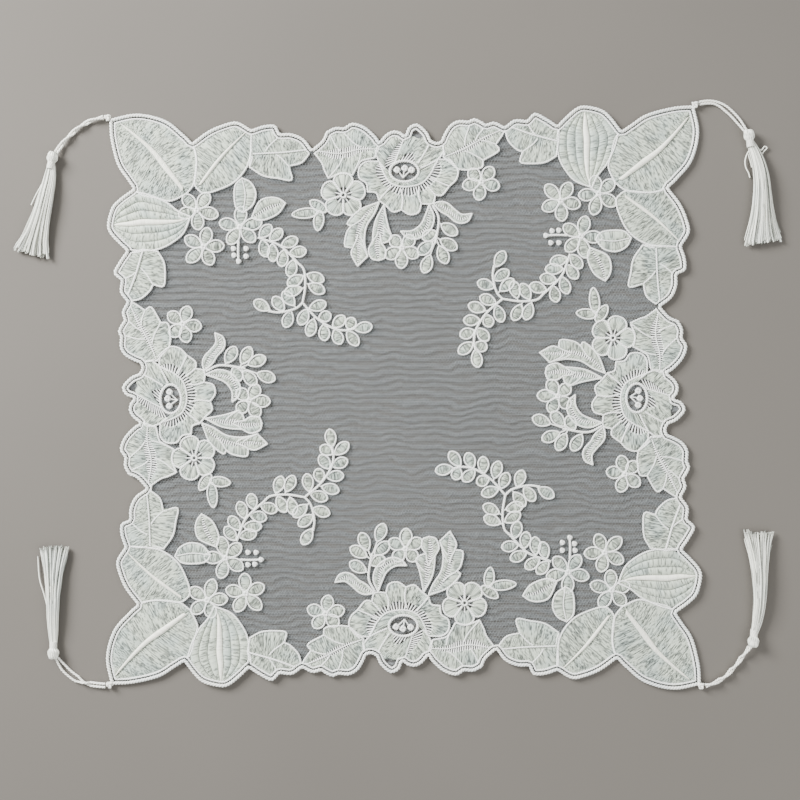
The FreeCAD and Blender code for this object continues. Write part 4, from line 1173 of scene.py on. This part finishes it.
def make_side_motifs(turns):
    side = SIDES[turns]
    cloth = Cloth()
    rose(cloth, turns)
    finish_motif(cloth, "rose", side)
    cloth = Cloth()
    leaf(cloth, "serrated_leaf_a", turns, comb=0.22, split=LEAF_SPLIT, vein=0.28, lobes=True)
    leaf(cloth, "serrated_leaf_b", turns, comb=0.12, split=LEAF_SPLIT, vein=0.28, lobes=True)
    finish_motif(cloth, "serrated_leaves", side)
    cloth = Cloth()
    blossom(cloth, turns)
    for name, comb in (("feather_a", 0.2), ("feather_b", 0.32), ("curl_a", 0.25), ("curl_b", 0.25)):
        leaf(cloth, name, turns, comb=comb, lobes=True)
    for name in ("floret_d", "floret_e"):
        floret(cloth, FLORETS[name], turns)
    stem(cloth, "sprig", turns)
    leaflets(cloth, SPRIG_LEAFLETS, [STEMS["sprig"]], turns, longest=9.2, width=5.6)
    triple = place(TRIPLE, turns)
    for base, tip in zip(triple[::2], triple[1::2]):
        bud(cloth, base, tip, 4.9, fullness=0.95)
    finish_motif(cloth, "side_sprays", side)


for turns in range(4):
    make_corner_motifs(turns)
    make_side_motifs(turns)

wrapping = Cloth()
edge_line = OUTLINE + OUTLINE_NORMAL * EDGE_CORD_RADIUS
rope(wrapping, edge_line, EDGE_CORD_RADIUS, 1.05, lay=1.5, closed=True, sides=9)
finish_piece(wrapping, "edge_cord", "wrapping", [EDGE_THREAD])


# ---------------------------------------------------------------- the nets
def hex_segments():
    """The threads of a hexagonal net over the whole square, as start and end points."""
    across, down = HEX_PITCH, HEX_PITCH * math.sqrt(3) / 2
    side = HEX_PITCH / math.sqrt(3)
    columns, rows = int(310 / across), int(304 / down)
    column, row = np.meshgrid(np.arange(columns), np.arange(rows))
    x = -155 + (column + 0.5 * (row % 2)) * across
    y = -152 + row * down
    top = np.stack([x, y + side], -1).reshape(-1, 2)
    left = np.stack([x - across / 2, y + side / 2], -1).reshape(-1, 2)
    left_low = np.stack([x - across / 2, y - side / 2], -1).reshape(-1, 2)
    right = np.stack([x + across / 2, y + side / 2], -1).reshape(-1, 2)
    return np.vstack([left, top, left]), np.vstack([top, right, left_low])


def open_net(points):
    """Which of the points show bare net: inside the edge cord, and under no motif."""
    shown = inside_polygon(points, OUTLINE + OUTLINE_NORMAL * EDGE_CORD_RADIUS)
    for cover in COVERS:
        low, high = cover.min(0), cover.max(0)
        near = shown & (points > low).all(1) & (points < high).all(1)
        index = np.nonzero(near)[0]
        if len(index):
            shown[index[inside_polygon(points[index], cover)]] = False
    return shown


def drawn_askew(p):
    """The net's points moved by a slow wave and a little unevenness."""
    x, y = p.T
    wave = 0.25 * np.sin(y / 6 + 2 * np.sin(x / 31)) + 0.06 * np.sin(x * 1.7 + y * 2.3)
    return np.column_stack([x + wave, y + 0.6 * wave])


def make_net_front():
    """The upper layer of tulle thread by thread, in four pieces; the first of them stands for the node."""
    starts, ends = hex_segments()
    shown = open_net((starts + ends) / 2)
    starts, ends = drawn_askew(starts[shown]), drawn_askew(ends[shown])
    middle = (starts + ends) / 2
    pieces = []
    for corner, (east, north) in zip(QUARTERS, CORNER_SHIFT):
        mine = ((middle[:, 0] >= 0) == (east > 0)) & ((middle[:, 1] > 0) == (north > 0))
        a, b = starts[mine], ends[mine]
        direction = (b - a) / np.maximum(np.linalg.norm(b - a, axis=1), 1e-9)[:, None]
        normal = np.stack([-direction[:, 1], direction[:, 0]], 1) * HEX_THREAD / 2
        corners = []
        for end, sign in ((a, -1), (b, 1)):
            reach = end + direction * sign * HEX_THREAD * 0.25
            for offset, rise in ((normal, 0), (-normal, 0), (0, HEX_THREAD * 0.7)):
                corners.append(np.column_stack([reach + offset, np.full(len(a), NET_FRONT_Z + rise)]))
        points = np.stack(corners, 1)
        base = np.arange(len(a))[:, None] * 6
        quads = np.vstack([base + q for q in ([0, 3, 4, 1], [1, 4, 5, 2], [2, 5, 3, 0])])
        caps = np.vstack([base + c for c in ([0, 1, 2], [5, 4, 3])])
        cloth = Cloth()
        cloth.add(points, quads.tolist() + caps.tolist(), 0.8)
        piece = cloth.piece(f"net_front_threads_{corner}", [NET_THREAD], smooth_faces=False)
        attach(piece, "cloth")
        if not pieces:
            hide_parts("net_front")
        pieces.append(piece)
    return pieces


def make_net_back():
    """The lower layer of tulle: one thin closed sheet."""
    rim = (OUTLINE + OUTLINE_NORMAL * 0.4)[::2]
    step = 3.0
    grid = np.stack(np.meshgrid(np.arange(-149, 150, step), np.arange(-146, 147, step)), -1).reshape(-1, 2)
    inner = grid[inside_polygon(grid, OUTLINE + OUTLINE_NORMAL * 1.5)]
    points = [Vector(p) for p in np.vstack([rim, inner]).tolist()]
    edges = [(i, (i + 1) % len(rim)) for i in range(len(rim))]
    found = delaunay_2d_cdt(points, edges, [], 1, 1e-6)
    flat = np.array([v[:] for v in found[0]])
    triangles = [list(f) for f in found[2]]
    count = len(flat)
    levels = [np.full(count, NET_BACK_Z + side * NET_BACK_THICKNESS / 2) for side in (1, -1)]
    used = dict.fromkeys(pair for f in triangles for pair in zip(f, f[1:] + f[:1]))
    border = [(i, j) for (i, j) in used if (j, i) not in used]
    faces = triangles + [[i + count for i in reversed(f)] for f in triangles]
    faces += [[j, i, i + count, j + count] for i, j in border]
    cloth = Cloth()
    cloth.add(np.vstack([np.column_stack([flat, level]) for level in levels]), faces, 0.7)
    return finish_piece(cloth, "net_back", "tulle", [NET_BACK])


front_pieces = make_net_front()
back = make_net_back()
